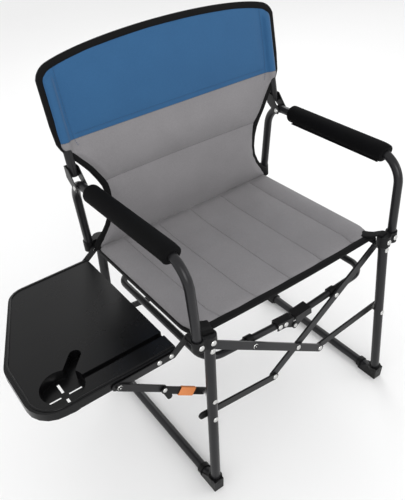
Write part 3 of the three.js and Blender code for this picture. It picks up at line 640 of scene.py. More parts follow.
class StitchRow(NodeRecipe):
    """Short thread loops at even steps along lines."""

    def __init__(self) -> None:
        """Builds the tree."""
        super().__init__("stitch_row", {
            "Pitch": ("NodeSocketFloat", 0.005), "Length": ("NodeSocketFloat", 0.0017),
            "Thickness": ("NodeSocketFloat", 0.0006)})
        tree = self.tree
        curve = add_node(tree, "GeometryNodeMeshToCurve", links={"Mesh": self.given["Path"]})
        points = add_node(tree, "GeometryNodeCurveToPoints", {"mode": "LENGTH"}, {
            "Curve": curve.outputs[0], "Length": self.given["Pitch"]})
        loop = add_node(tree, "GeometryNodeMeshUVSphere", {"Segments": 6, "Rings": 4, "Radius": 1.0})
        size = add_node(tree, "ShaderNodeCombineXYZ", links={
            0: self.given["Thickness"], 1: self.given["Thickness"], 2: self.given["Length"]})
        threads = add_node(tree, "GeometryNodeInstanceOnPoints", links={
            "Points": points.outputs["Points"], "Instance": loop.outputs["Mesh"],
            "Rotation": points.outputs["Rotation"], "Scale": size.outputs[0]})
        self.finish(threads.outputs[0])

    def make(self, name: str, lines: Sequence[Sequence[Vector]],
             material: bpy.types.Material) -> bpy.types.Object:
        """Sews along lines given in row-frame metres.

        Args:
            name: The piece's name.
            lines: The seams' points.
            material: The thread.

        Returns:
            One mesh with every stitch.
        """
        points, edges = [], []
        for line in lines:
            edges += [(len(points) + i, len(points) + i + 1) for i in range(len(line) - 1)]
            points += list(line)
        piece = new_piece(name, points, [], edges)
        return smoothed(self.grow(piece, material, Pitch=5.0 * MM, Length=1.75 * MM, Thickness=0.55 * MM))


def flat_kept(piece: bpy.types.Object) -> bpy.types.Object:
    """Weighs the normals by face area, so that broad flats shade flat between rounded edges."""
    weigh = piece.modifiers.new("flats", "WEIGHTED_NORMAL")
    weigh.mode, weigh.weight, weigh.keep_sharp = "FACE_AREA", 100, True
    return baked(piece)


def softened(node: str, width_mm: float, material: bpy.types.Material,
             segments: int = 2) -> bpy.types.Object:
    """A copy of a CAD node with the small rounding of a moulded or tumbled edge.

    Args:
        node: The CAD node.
        width_mm: The rounding's width.
        material: The copy's finish.
        segments: Steps across the rounding.

    Returns:
        The copy, riding on the node's body in its place.
    """
    piece = bpy.data.objects.new(f"soft_{node}", frame["nodes"][node].data.copy())
    bpy.context.scene.collection.objects.link(piece)
    work = bmesh.new()
    work.from_mesh(piece.data)
    bmesh.ops.remove_doubles(work, verts=work.verts, dist=2e-6)
    bmesh.ops.dissolve_limit(work, angle_limit=math.radians(1.0), verts=work.verts, edges=work.edges)
    work.to_mesh(piece.data)
    work.free()
    bevel = piece.modifiers.new("edge", "BEVEL")
    bevel.width = width_mm * MM
    bevel.segments = segments
    bevel.limit_method = "ANGLE"
    bevel.angle_limit = math.radians(40)
    bevel.use_clamp_overlap = True
    return placed(flat_kept(smoothed(baked(piece))), BODY_OF[node], SLOT_OF[node], material, [node])


@dataclass
class Ribbon:
    """A flat band with rounded edges along a line of frames."""
    half_width: float
    half_thickness: float
    corners: int = 12

    def make(self, name: str, frames: Sequence[tuple[Vector, Vector, Vector]],
             ) -> bpy.types.Object:
        """Lofts the band.

        Args:
            name: The piece's name.
            frames: Centre in metres, direction across and direction out of the face.

        Returns:
            The band as a closed mesh.
        """
        points: list[Vector] = []
        for centre, across, out in frames:
            for k in range(self.corners):
                angle = 2 * math.pi * k / self.corners
                c, s = math.cos(angle), math.sin(angle)
                wide = math.copysign(abs(c) ** 0.5, c) * self.half_width * MM
                thick = math.copysign(abs(s) ** 0.7, s) * self.half_thickness * MM
                points.append(centre + across * wide + out * thick)
        count, n = len(frames), self.corners
        faces = [(i * n + k, i * n + (k + 1) % n, (i + 1) * n + (k + 1) % n, (i + 1) * n + k)
                 for i in range(count - 1) for k in range(n)]
        faces += [tuple(range(n)), tuple(range((count - 1) * n, count * n))[::-1]]
        return smoothed(faced_outward(new_piece(name, points, faces)))


# ------------------------------------------------------------------ frame


@dataclass
class SideFrames:
    """Leg frames, arm tubes, foam grips and the moulded parts of both sides."""
    finishes: Finishes
    tubes: SweptTube
    leg_radius: float = 11.0
    leg_bend: float = 28.0
    arm_radius: float = 9.75
    arm_bend: float = 58.0
    foam_radius: float = 20.5
    foam_span: tuple[float, float] = (44.0, 346.0)

    def leg_line(self, side: Side) -> list[Vector]:
        """The bent line of one leg frame."""
        s = side.value
        return bent_line([(s * leg_x(447), 6, 447), (s * leg_x(14), 6, 14), (s * leg_x(14), 447, 14),
                          (s * leg_x(447), 447, 447)], self.leg_bend)

    def arm_line(self, side: Side) -> list[Vector]:
        """The bent line of one arm tube."""
        s = side.value
        return bent_line([(s * 266, 7, 438), (s * 271, 7, 634), (s * 279, 429, 634), (s * 268, 447, 438)],
                         self.arm_bend)

    def foam_line(self, side: Side) -> list[Vector]:
        """The stretch of the arm under its grip, in even steps."""
        first, last = self.foam_span
        fine = along(self.arm_line(side), 4.0)
        return [p for p in fine if first <= p.y <= last and p.z > 600]

    def build(self) -> None:
        """Makes every piece of the side frames."""
        f = self.finishes
        for side in Side:
            body = f"{side.word}_frame"
            leg = self.tubes.make(f"leg_tube_{side.word}", self.leg_line(side), self.leg_radius,
                                  f.powder_coat, 24)
            placed(leg, body, "frame_coat", None, [f"{side.word}_leg_frame"])
            arm = self.tubes.make(f"arm_rail_{side.word}", self.arm_line(side), self.arm_radius,
                                  f.powder_coat, 22)
            placed(arm, body, "frame_coat", None, [f"{side.word}_arm_tube"])
            grip = self.tubes.make(f"foam_grip_{side.word}", self.foam_line(side), self.foam_radius,
                                   f.grip_foam, 28, 3.5)
            placed(grip, body, "grip_foam", None, [f"{side.word}_arm_foam"])
            self.grip_seam(side, body)
            for end in End:
                softened(f"{side.word}_{end.word}_shoe", 1.4, f.moulded_nylon)
                softened(f"{side.word}_{end.word}_bracket", 1.3, f.moulded_nylon)

    def grip_seam(self, side: Side, body: str) -> None:
        """The lapped closure under a grip.

        Args:
            side: The grip's side.
            body: The body it rides on.
        """
        line = self.foam_line(side)[3:-3]
        inward = Vector((-side.value, 0, 0))
        frames = [(DRAWING.at(*(p + Vector((inward.x * 7, 0, 0))
                                - Vector((0, 0, self.foam_radius - 1.6)))),
                   inward, Vector((0, 0, -1))) for p in line]
        seam = Ribbon(8.0, 1.5).make(f"grip_closure_{side.word}", frames)
        placed(seam, body, "grip_foam", self.finishes.binding)


@dataclass
class FoldingLinkage:
    """Scissor bars, lower links and the seat's support frame."""
    finishes: Finishes
    tubes: SweptTube
    seat_radius: float = 8.0
    seat_bend: float = 40.0
    seat_y: float = 43.0
    rail_x: float = 229.0

    def seat_line(self, side: Side) -> list[Vector]:
        """The U-shaped line of one half of the seat frame."""
        s = side.value
        rise = (SADDLE_Z - RAIL_Z) / SADDLE_X

        def at(x: float, y: float) -> tuple[float, float, float]:
            return s * x, y, RAIL_Z + rise * x

        rear = 2 * MIDDLE_Y - self.seat_y
        return bent_line([at(3, self.seat_y), at(self.rail_x, self.seat_y), at(self.rail_x, rear),
                          at(3, rear)],
                         self.seat_bend)

    def build(self) -> None:
        """Makes the linkage's pieces."""
        f = self.finishes
        for side in Side:
            tube = self.tubes.make(f"seat_rail_{side.word}", self.seat_line(side), self.seat_radius,
                                   f.powder_coat, 20)
            placed(tube, f"seat_half_{side.word}", "frame_coat", None, [f"seat_frame_{side.word}"])
            for end in End:
                softened(f"{end.word}_scissor_bar_{side.word}", 0.9, f.powder_coat)
                softened(f"{end.word}_lower_link_{side.word}", 0.7, f.painted_strip)
                softened(f"seat_hinge_leaf_{side.word}_{end.word}", 0.5, f.painted_strip)


@dataclass
class FrameRivets:
    """Domed heads on the pivots of the frame."""
    finishes: Finishes
    heads: DomedHeads
    head: float = 6.2
    rise: float = 2.0
    bar_y: float = 18.2
    link_y: float = 18.4
    saddle_y: float = 24.8
    leaf_y: float = 32.4
    leaf_slope: float = 0.0785
    cross_z: float = 260.0
    bar_reach: tuple[float, float] = (242.0, 163.0)
    tail: float = 0.285

    def row(self, name: str, body: str, spots: Sequence[tuple[float, float, float]], end: End,
            ) -> None:
        """Sets a row of heads at one end of the chair.

        Args:
            name: The row's name.
            body: The body it rides on.
            spots: x, y and z of each head as drawn for the front.
            end: The end of the chair.
        """
        way = Vector((0, -end.value, 0))
        places = [(Vector((x, at_end(end, y), z)), way) for x, y, z in spots]
        piece = self.heads.make(name, places, self.head, self.rise, self.finishes.plated_steel)
        placed(piece, body, "rivet_steel", None)

    def build(self) -> None:
        """Makes every row of heads."""
        tail_x = self.tail * self.bar_reach[0]
        tail_z = self.cross_z - self.tail * self.bar_reach[1]
        for end in End:
            for side in Side:
                s = side.value
                self.row(f"leg_heads_{side.word}_{end.word}", f"{side.word}_frame",
                         [(s * 242, -5.3, 423), (s * leg_x(233), -5.3, 233), (s * 241, -9.7, 447),
                          (s * 266, -6.2, 447)], end)
            self.row(f"cross_head_{end.word}", "scissor_a",
                     [(0, self.bar_y, self.cross_z), (tail_x, self.link_y, tail_z),
                      (-SADDLE_X, self.bar_y, SADDLE_Z)], end)
            self.row(f"saddle_head_{end.word}", "scissor_b", [(SADDLE_X, self.saddle_y, SADDLE_Z)], end)
            for side in Side:
                self.row(f"leaf_heads_{side.word}_{end.word}", f"seat_half_{side.word}",
                         [(side.value * x, self.leaf_y, RAIL_Z + self.leaf_slope * x) for x in (24, 40)],
                         end)
            self.row(f"link_head_left_{end.word}", "link_left", [(-tail_x, self.link_y, tail_z)], end)


@dataclass
class BackFrame:
    """The tubes that carry the back and their hinges."""
    finishes: Finishes
    tubes: SweptTube
    radius: float = 9.5
    x: float = BACK_SPAN

    def build(self) -> None:
        """Makes the back tubes and hinge channels."""
        for side in Side:
            line = [Vector((side.value * self.x, back_y(z), z)) for z in (648.0, 720.0, 842.0)]
            tube = self.tubes.make(f"back_post_{side.word}", line, self.radius, self.finishes.powder_coat,
                                   20)
            placed(tube, f"back_{side.word}", "frame_coat", None, [f"back_tube_{side.word}"])
            softened(f"back_hinge_{side.word}", 0.6, self.finishes.painted_strip)


def back_y(z: float) -> float:
    """y of the back tubes' axes at a height, both in mm."""
    return 411 + (z - 648) * 0.15


# ------------------------------------------------------------------ padded cloth


@dataclass
class PadGrid:
    """A closed quilted pad: a front and a back sheet over a mid-surface, joined at the rim."""
    name: str
    columns: Sequence[float]
    rows: Sequence[float]
    middle: Callable[[float, float], Vector]
    half: Callable[[float, float], float]
    held: Callable[[int, int], bool]
    normals: list[Vector] = field(default_factory=list)

    def mid(self, i: int, j: int) -> Vector:
        """The mid-surface point of a row and a column."""
        return self.middle(self.columns[j], self.rows[i])

    def normal(self, i: int, j: int) -> Vector:
        """The unit normal of the mid-surface, out of the front sheet."""
        last_row, last_column = len(self.rows) - 1, len(self.columns) - 1
        down = self.mid(min(i + 1, last_row), j) - self.mid(max(i - 1, 0), j)
        across = self.mid(i, min(j + 1, last_column)) - self.mid(i, max(j - 1, 0))
        return across.cross(down).normalized()

    def index(self, i: int, j: int, sheet: int) -> int:
        """The vertex of a row and column on the front (0) or back (1) sheet."""
        return (i * len(self.columns) + j) * 2 + sheet

    def stored(self, i: int, j: int) -> Vector:
        """The unit normal kept from the build."""
        return self.normals[i * len(self.columns) + j]

    def over(self, pad: bpy.types.Object, i: int, j: int) -> Vector:
        """A stitch's place in metres, just above the filled pad's front sheet."""
        return pad.data.vertices[self.index(i, j, 0)].co + self.stored(i, j) * 0.5 * MM

    def nudge(self, pad: bpy.types.Object, i: int, j: int, amount: float, share: float = 1.0) -> None:
        """Moves both sheets of a filled pad outward.

        Args:
            pad: The filled pad.
            i: The row.
            j: The column.
            amount: How far in mm; inward where it is negative.
            share: The share of it that is used.
        """
        for sheet, way in enumerate((1, -1)):
            step = self.stored(i, j) * way * amount * share * MM
            pad.data.vertices[self.index(i, j, sheet)].co += step

    def build(self) -> bpy.types.Object:
        """Makes the closed pad in row-frame metres.

        Returns:
            The pad, not yet filled.
        """
        points: list[Vector] = []
        rows, columns = len(self.rows), len(self.columns)
        self.normals = []
        for i in range(rows):
            for j in range(columns):
                out = self.normal(i, j)
                self.normals.append(out)
                reach = self.half(self.columns[j], self.rows[i])
                centre = self.mid(i, j)
                points += [DRAWING.at(*(centre + out * reach)), DRAWING.at(*(centre - out * reach))]
        at = self.index
        faces = []
        for i in range(rows - 1):
            for j in range(columns - 1):
                faces.append((at(i, j, 0), at(i, j + 1, 0), at(i + 1, j + 1, 0), at(i + 1, j, 0)))
                faces.append((at(i, j, 1), at(i + 1, j, 1), at(i + 1, j + 1, 1), at(i, j + 1, 1)))
        for i in range(rows - 1):
            for j in (0, columns - 1):
                faces.append((at(i, j, 0), at(i + 1, j, 0), at(i + 1, j, 1), at(i, j, 1)))
        for j in range(columns - 1):
            for i in (0, rows - 1):
                faces.append((at(i, j, 0), at(i, j, 1), at(i, j + 1, 1), at(i, j + 1, 0)))
        return faced_outward(new_piece(self.name, points, faces))

    def pins(self) -> list[int]:
        """Vertices that sewing or the frame holds still."""
        rows, columns = len(self.rows), len(self.columns)
        return [self.index(i, j, sheet) for i in range(rows) for j in range(columns) for sheet in (0, 1)
                if i in (0, rows - 1) or j in (0, columns - 1) or self.held(i, j)]


@dataclass
class Filling:
    """Padding that presses a pad's cloth out between its seams."""
    pressure: float = 4.0
    frames: int = 20
    cap: float = 5.0

    def blow(self, piece: bpy.types.Object, pins: Sequence[int]) -> None:
        """Runs the cloth, caps how far it moved and keeps the result.

        Args:
            piece: The closed pad.
            pins: Vertices that stay in place.
        """
        scene = bpy.context.scene
        group = piece.vertex_groups.new(name="held")
        group.add(list(pins), 1.0, "REPLACE")
        cloth = piece.modifiers.new("filling", "CLOTH")
        settings = cloth.settings
        settings.quality = 4
        settings.mass = 0.3
        settings.tension_stiffness = settings.compression_stiffness = 12
        settings.shear_stiffness = 6
        settings.bending_stiffness = 0.6
        settings.air_damping = 2
        settings.use_pressure = True
        settings.uniform_pressure_force = self.pressure
        settings.vertex_group_mass = group.name
        settings.effector_weights.gravity = 0
        cloth.collision_settings.use_collision = False
        cloth.point_cache.frame_start, cloth.point_cache.frame_end = 1, self.frames
        for number in range(1, self.frames + 1):
            scene.frame_set(number)
        evaluated = piece.evaluated_get(bpy.context.evaluated_depsgraph_get())
        moved = [v.co.copy() for v in evaluated.data.vertices]
        piece.modifiers.clear()
        piece.vertex_groups.clear()
        scene.frame_set(1)
        farthest = 0.0
        for vertex, place in zip(piece.data.vertices, moved):
            step = place - vertex.co
            farthest = max(farthest, step.length)
            reach = self.cap * MM
            if step.length > reach:
                step *= reach / step.length
            vertex.co += step
        piece.data.update()
        LOG.info("%s: filled, farthest point moved %.1f mm before the cap", piece.name, farthest / MM)


def channel(t: float, seam_half: float, crown: float) -> float:
    """Half thickness across a sewn channel.

    Args:
        t: Place across the channel, from 0 to 1.
        seam_half: Half thickness at the seams.
        crown: Extra half thickness in the middle.

    Returns:
        The half thickness in mm.
    """
    return seam_half + crown * math.sin(math.pi * min(max(t, 0), 1)) ** 0.55


def spread(stations: Sequence[tuple[float, int]]) -> list[float]:
    """Even steps between stations.

    Args:
        stations: Each station's value and the number of steps that lead up to it.

    Returns:
        Every value, first station included.
    """
    values = [stations[0][0]]
    for (low, _), (high, steps) in zip(stations, stations[1:]):
        values += [low + (high - low) * k / steps for k in range(1, steps + 1)]
    return values


def seamed(ends: tuple[float, float], seams: Sequence[float], step: float) -> list[float]:
    """Steps across a pad that close up beside each seam, for a crisp crease.

    Args:
        ends: First and last value.
        seams: Values where sewing lies.
        step: The usual step between seams.

    Returns:
        Every value in order, seams included.
    """
    stations = [(ends[0], 0)]
    for mark in seams:
        stations.append((mark - 6.0, max(2, round((mark - 6.0 - stations[-1][0]) / step))))
        stations += [(mark - 1.8, 1), (mark, 1), (mark + 1.8, 1), (mark + 6.0, 1)]
    stations.append((ends[1], max(2, round((ends[1] - stations[-1][0]) / step))))
    return spread(stations)


def nearest(values: Sequence[float], mark: float) -> int:
    """The index of the value closest to a mark."""
    return min(range(len(values)), key=lambda k: abs(values[k] - mark))


def ramp(value: float, low: float, high: float) -> float:
    """A smooth change from 0 at low to 1 at high."""
    t = min(max((value - low) / (high - low), 0), 1)
    return t * t * (3 - 2 * t)


@dataclass
class SeatPad:
    """The quilted seat: six channels from front to back, with sides that wrap down."""
    finishes: Finishes
    stitches: StitchRow
    front_y: float = 33.0
    rear_y: float = 424.0
    mid_z: float = 444.0
    flat_x: float = 242.0
    wrap: float = 10.0
    drop: float = 8.0
    sag: float = 7.0
    sag_half: float = 250.0
    corner_taper: float = 0.04
    seams: tuple[float, ...] = (-192.0, -96.0, 0.0, 96.0, 192.0)

    def edge(self) -> float:
        """Distance along the cloth from the middle to its side edge."""
        return self.flat_x + self.wrap * math.pi / 2 + self.drop

    def middle(self, s: float, y: float) -> Vector:
        """Mid-surface point at a distance across the cloth and a y."""
        side, reach = math.copysign(1, s), abs(s)
        dip = self.sag * (1 - (min(reach, self.sag_half) / self.sag_half) ** 2)
        dip *= 0.75 + 0.25 * ramp(y, self.front_y, 120)
        dip *= 1 - 0.8 * ramp(y, 330, self.rear_y)
        taper = 1 - self.corner_taper * (1 - ramp(y, 42, 90))
        if reach <= self.flat_x:
            return Vector((s * taper, y, self.mid_z - dip))
        turn = (reach - self.flat_x) / self.wrap
        if turn <= math.pi / 2:
            return Vector((side * (self.flat_x + self.wrap * math.sin(turn)) * taper, y,
                           self.mid_z - dip - self.wrap * (1 - math.cos(turn))))
        return Vector((side * (self.flat_x + self.wrap) * taper, y,
                       self.mid_z - self.wrap - (reach - self.flat_x - self.wrap * math.pi / 2)))

    def half(self, s: float, y: float) -> float:
        """Half thickness of the pad before it is filled."""
        marks = [-self.flat_x, *self.seams, self.flat_x]
        if abs(s) >= self.flat_x:
            return 2.4
        low = max(m for m in marks if m <= s)
        high = min(m for m in marks if m > s)
        ends = min(ramp(y, self.front_y, self.front_y + 22), 1 - ramp(y, self.rear_y - 22, self.rear_y))
        return 1.0 + channel((s - low) / (high - low), 0.0, 6.6) * ends

    def build(self) -> bpy.types.Object:
        """Makes the seat with its binding, stitches and corner straps.

        Returns:
            The padded piece.
        """
        f = self.finishes
        edge = self.edge()
        inner = seamed((-self.flat_x, self.flat_x), self.seams, 7.0)
        columns = (spread([(-edge, 0), (-self.flat_x, 5)]) + inner[1:-1]
                   + spread([(self.flat_x, 0), (edge, 5)]))
        rows = spread([(self.front_y, 0), (self.rear_y, 60)])
        sewn = {nearest(columns, mark) for mark in self.seams}
        grid = PadGrid("seat_cushion", columns, rows, self.middle, self.half,
                       lambda i, j: j in sewn or abs(columns[j]) >= self.flat_x - 1)
        pad = grid.build()
        Filling(cap=6.5).blow(pad, grid.pins())
        self.pucker(pad, grid)
        tops = [[grid.over(pad, i, j) for i in range(2, len(rows) - 2)] for j in sorted(sewn)]
        sewing = self.stitches.make("seat_stitching", tops, f.grey_thread)
        refined(pad)
        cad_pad(placed(pad, "left_frame", "grey_fabric", f.grey_cloth, ["seat_pad"]), SEAT_SPAN)
        squashed(placed(sewing, "left_frame", "grey_fabric", None), SEAT_SPAN)
        self.bindings(grid)
        self.straps()
        return pad

    def pucker(self, pad: bpy.types.Object, grid: PadGrid) -> None:
        """Gathers that run away from the seams, and soft unevenness in the padding.

        Args:
            pad: The filled pad.
            grid: Its grid.
        """
        for i, y in enumerate(grid.rows):
            for j, s in enumerate(grid.columns):
                if abs(s) > self.flat_x:
                    continue
                away = min(abs(s - m) for m in (*self.seams, -self.flat_x, self.flat_x))
                gather = math.exp(-away / 14) * min(away / 3, 1) * noise.noise(
                    Vector((s * 0.02, y * 0.11, 3.0)))
                lump = noise.noise(Vector((s * 0.016, y * 0.016, 9.0)))
                grid.nudge(pad, i, j, 1.1 * gather + 0.8 * lump * min(away / 20, 1))
        pad.data.update()

    def bindings(self, grid: PadGrid) -> None:
        """The black edge binding round the seat.

        Args:
            grid: The pad's grid.
        """
        rows, columns = len(grid.rows), len(grid.columns)
        loops = {
            "front": [(0, j) for j in range(columns)],
            "left": [(i, 0) for i in range(rows)], "right": [(i, columns - 1) for i in range(rows)],
        }
        for word, spots in loops.items():
            front = word == "front"
            wide, thick, shift = (8.5, 4.9, 4.2) if front else (7.5, 3.8, 3.5)
            frames = []
            for i, j in spots:
                across = Vector((0, 1, 0))
                if not front:
                    across = (grid.mid(i, 1 if j == 0 else columns - 2) - grid.mid(i, j)).normalized()
                frames.append((DRAWING.at(*(grid.mid(i, j) + across * shift)), across, grid.normal(i, j)))
            band = Ribbon(wide, thick).make(f"seat_binding_{word}", frames)
            squashed(placed(band, "left_frame", "grey_fabric", self.finishes.binding), SEAT_SPAN)

    def straps(self) -> None:
        """Webbing tabs from the seat's front corners into the brackets."""
        line = [(224, 56, 447), (228, 42, 449.5), (232, 31, 452.5), (236, 22, 457), (239, 14, 461.5),
                (241, 5, 462)]
        for side in Side:
            points = along([Vector((side.value * x, y, z)) for x, y, z in line], 3.0)
            frames = []
            for k, p in enumerate(points):
                ahead = (points[min(k + 1, len(points) - 1)] - points[max(k - 1, 0)]).normalized()
                across = ahead.cross(Vector((0, 0, 1))).normalized()
                frames.append((DRAWING.at(*p), across, across.cross(ahead).normalized()))
            tab = Ribbon(12.5, 1.5).make(f"seat_strap_{side.word}_front", frames)
            squashed(placed(tab, "left_frame", "grey_fabric", self.finishes.binding), SEAT_SPAN)


def refined(pad: bpy.types.Object) -> None:
    """One subdivision of a filled pad, applied."""
    modifier = pad.modifiers.new("finer", "SUBSURF")
    modifier.levels = modifier.render_levels = 1
    smoothed(baked(pad))


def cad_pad(piece: bpy.types.Object, half_span: float) -> bpy.types.Object:
    """Gives a padded piece its own copy of its mesh."""
    return squashed(piece, half_span)


def squashed(piece: bpy.types.Object, half_span: float) -> bpy.types.Object:
    """Gives a soft piece its own copy of its mesh.

    Args:
        piece: The soft piece.
        half_span: Distance from the middle to where the frames hold it, in mm.

    Returns:
        The piece.
    """
    tuple(DRAWING.at(-half_span, 0, 0))
    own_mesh(piece)
    return piece


@dataclass
class BackPanel:
    """The quilted back: grey channels below, a blue head above, sleeves over the tubes."""
    finishes: Finishes
    stitches: StitchRow
    foot_z: float = 440.0
    split_z: float = 650.0
    channel_seam: float = 611.0
    colour_seam: float = 722.0
    corner_z: float = 855.0
    rise: float = 48.0
    sleeve_x: float = 262.0
    sleeve_radius: float = 11.6
    sleeve_foot: tuple[float, float] = (698.0, 706.0)
    arch_half: float = 306.0
    corner_x: float = 272.0
    corner_reach: float = 26.0
    corner_drop: float = 17.0
    head_height: float = 130.0
    widths: tuple[tuple[float, float], ...] = (
        (440, 262), (457, 257), (468, 245), (480, 234), (495, 224), (520, 213), (545, 209), (575, 211),
        (600, 217), (625, 229), (650, 243), (668, 256), (684, 269), (698, 281), (710, 289), (722, 294),
        (760, 297), (905, 298))

    def half_width(self, z: float) -> float:
        """Half the panel's width at a height."""
        for (z0, w0), (z1, w1) in zip(self.widths, self.widths[1:]):
            if z <= z1:
                return w0 + (w1 - w0) * max(z - z0, 0) / (z1 - z0)
        return self.widths[-1][1]

    def top_z(self, x: float) -> float:
        """Height of the top edge, with rounded corners."""
        arch = self.corner_z + self.rise * math.sqrt(max(1 - (x / self.arch_half) ** 2, 0))
        corner = max(abs(x) - self.corner_x, 0) / self.corner_reach
        return arch - self.corner_drop * (1 - math.sqrt(max(1 - corner ** 2, 0)))

    def depth(self, z: float) -> float:
        """y of the panel's mid-surface at a height."""
        low = 425.5 - 0.085 * (z - 461.5)
        high = back_y(z)
        return low + (high - low) * ramp(z, 625, 675)

    def middle(self, u: float, v: float) -> Vector:
        """Mid-surface point; v is a height up to the colour seam and then a share of the rest."""
        z = min(v, self.colour_seam)
        x = u * self.half_width(z)
        if v > self.colour_seam:
            share = v - self.colour_seam
            x = u * self.half_width(self.colour_seam + share * self.head_height)
            z = self.colour_seam + share * (self.top_z(x) - self.colour_seam)
        bow = 5 * (1 - u * u) * ramp(z, 461, 520) * (1 - ramp(z, 640, 760))
        return Vector((x, self.depth(z) + bow, z))

    def half(self, u: float, v: float) -> float:
        """Half thickness of the panel before it is filled."""
        place = self.middle(u, v)
        marks = (self.foot_z, self.channel_seam, self.colour_seam, self.top_z(place.x))
        low = max((m for m in marks[:3] if m <= place.z + 1e-6), default=marks[0])
        high = marks[marks.index(low) + 1]
        body = channel((place.z - low) / (high - low), 0.0, 10.0 if place.z < self.colour_seam else 5.0)
        margin = self.sleeve_x - abs(place.x) if place.z > 700 else self.half_width(place.z) - abs(place.x)
        body *= ramp(margin, 0, 26)
        off = abs(abs(place.x) - BACK_SPAN)
        sleeve = math.sqrt(max(self.sleeve_radius ** 2 - off ** 2, 0)) * ramp(place.z, *self.sleeve_foot)
        crown = 1 - ramp(place.z, 846, 862)
        return max(1.2 + body, sleeve * crown + 0.6, 2.3 * (1 - ramp(margin, 4, 20)))

    def build(self) -> None:
        """Makes the panel, fills it, then splits it where the back folds."""
        f = self.finishes
        sleeve = self.sleeve_x / self.widths[-1][1]
        columns = spread([(-1, 0), (-sleeve, 11), (sleeve, 84), (1, 11)])
        rows = seamed((self.foot_z, self.colour_seam), (self.channel_seam,), 6.5)
        rows = rows[:-1] + spread([(self.colour_seam - 4, 0), (self.colour_seam - 1.5, 1),
                                   (self.colour_seam, 1),
                                   (self.colour_seam + 0.01, 1), (self.colour_seam + 0.03, 1),
                                   (self.colour_seam + 1, 28)])
        crossing = {nearest(rows, mark) for mark in (self.channel_seam, self.colour_seam)}
        split = nearest(rows, self.split_z)
        seam = max(crossing)
        grid = PadGrid("back_panel", columns, rows, self.middle, self.half,
                       lambda i, j: i in crossing or (abs(columns[j]) >= sleeve - 1e-6 and i > split))
        panel = grid.build()
        Filling(cap=7.0).blow(panel, grid.pins())
        self.pucker(panel, grid)
        self.sew(panel, grid, crossing, split)
        self.part(panel, grid, split, seam)
        last = len(columns) - 1
        for name, low, high, column, body in (
                ("lower_left", 0, split, 0, "left_frame"), ("lower_right", 0, split, last, "left_frame"),
                ("upper", split, len(rows) - 1, 0, "back_left")):
            band = Ribbon(7.6, 5.0).make(f"back_binding_{name}", self.rim(grid, low, high, column))
            squashed(placed(band, body, "grey_fabric", f.binding), BACK_SPAN)

    def pucker(self, panel: bpy.types.Object, grid: PadGrid) -> None:
        """Gathers beside the seams and soft unevenness in the padding.

        Args:
            panel: The filled panel.
            grid: Its grid.
        """
        heights = [self.channel_seam, self.colour_seam]
        for i in range(len(grid.rows)):
            for j in range(len(grid.columns)):
                place = grid.mid(i, j)
                if abs(place.x) > self.sleeve_x - 2 and place.z > 690:
                    continue
                away = min(abs(place.z - h) for h in heights)
                gather = math.exp(-away / 15) * min(away / 4, 1) * noise.noise(
                    Vector((place.x * 0.1, place.z * 0.02, 5.0)))
                lump = noise.noise(Vector((place.x * 0.014, place.z * 0.018, 2.0))) * min(away / 25, 1)
                edge = ramp(self.half_width(min(place.z, 720)) - abs(place.x), 4, 30)
                grid.nudge(panel, i, j, 1.2 * gather + 1.3 * lump, edge)
        panel.data.update()

    def sew(self, panel: bpy.types.Object, grid: PadGrid, crossing: set[int], split: int) -> None:
        """Stitches along the level seams and beside the sleeves.

        Args:
            panel: The filled panel.
            grid: Its grid.
            crossing: Rows of the level seams.
            split: The row where the back folds.
        """
        columns = len(grid.columns)
        level = {i: [grid.over(panel, i, j) for j in range(2, columns - 2)]
                 for i in sorted(crossing)}
        lower = [line for i, line in level.items() if i < split]
        upper = [line for i, line in level.items() if i >= split]
        start = next(i for i, v in enumerate(grid.rows) if v > self.sleeve_foot[1])
        sleeves = [[grid.over(panel, i, j) for i in range(start, len(grid.rows) - 2)]
                   for j in (11, columns - 12)]
        hem = next(i for i, v in enumerate(grid.rows) if v > self.colour_seam + 0.05)
        sleeves.append([grid.over(panel, hem, j) for j in range(12, columns - 12)])
        f = self.finishes
        for word, lines, body, thread in (("lower", lower, "left_frame", f.grey_thread),
                                          ("upper", upper, "back_left", f.grey_thread),
                                          ("sleeves", sleeves, "back_left", f.blue_thread)):
            sewing = self.stitches.make(f"back_stitching_{word}", lines, thread)
            squashed(placed(sewing, body, "grey_fabric", None), BACK_SPAN)

    def part(self, panel: bpy.types.Object, grid: PadGrid, split: int, seam: int) -> None:
        """Refines the filled panel and parts it at the fold into two closed pads.

        Args:
            panel: The filled panel.
            grid: Its grid.
            split: The row where the back folds.
            seam: The row of the colour seam.
        """
        f = self.finishes
        row_of = [index // (2 * len(grid.columns)) for index in range(len(panel.data.vertices))]
        for material in (f.grey_cloth, f.grey_cloth, f.blue_cloth):
            panel.data.materials.append(material)
        for polygon in panel.data.polygons:
            foot = min(row_of[v] for v in polygon.vertices)
            polygon.material_index = 2 if foot >= seam else 1 if foot >= split else 0
        refined(panel)
        spans = {"lower": ((0,), "left_frame", "grey_fabric", "back_pad_lower"),
                 "upper": ((1, 2), "back_left", "blue_fabric", "back_pad_upper")}
        for word, (parts, body, slot, node) in spans.items():
            pad = new_piece(f"back_cushion_{word}", [], [])
            work = bmesh.new()
            work.from_mesh(panel.data)
            others = [face for face in work.faces if face.material_index not in parts]
            bmesh.ops.delete(work, geom=others, context="FACES")
            rim = [edge for edge in work.edges if edge.is_boundary]
            bmesh.ops.holes_fill(work, edges=rim, sides=0)
            for face in work.faces:
                face.material_index = max(face.material_index - 1, 0)
            bmesh.ops.triangulate(work, faces=[face for face in work.faces if len(face.verts) > 4])
            bmesh.ops.recalc_face_normals(work, faces=work.faces)
            work.to_mesh(pad.data)
            work.free()
            for material in (f.grey_cloth, f.blue_cloth)[:len(parts)]:
                pad.data.materials.append(material)
            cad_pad(placed(smoothed(pad), body, slot, None, [node]), BACK_SPAN)
        bpy.data.objects.remove(panel)

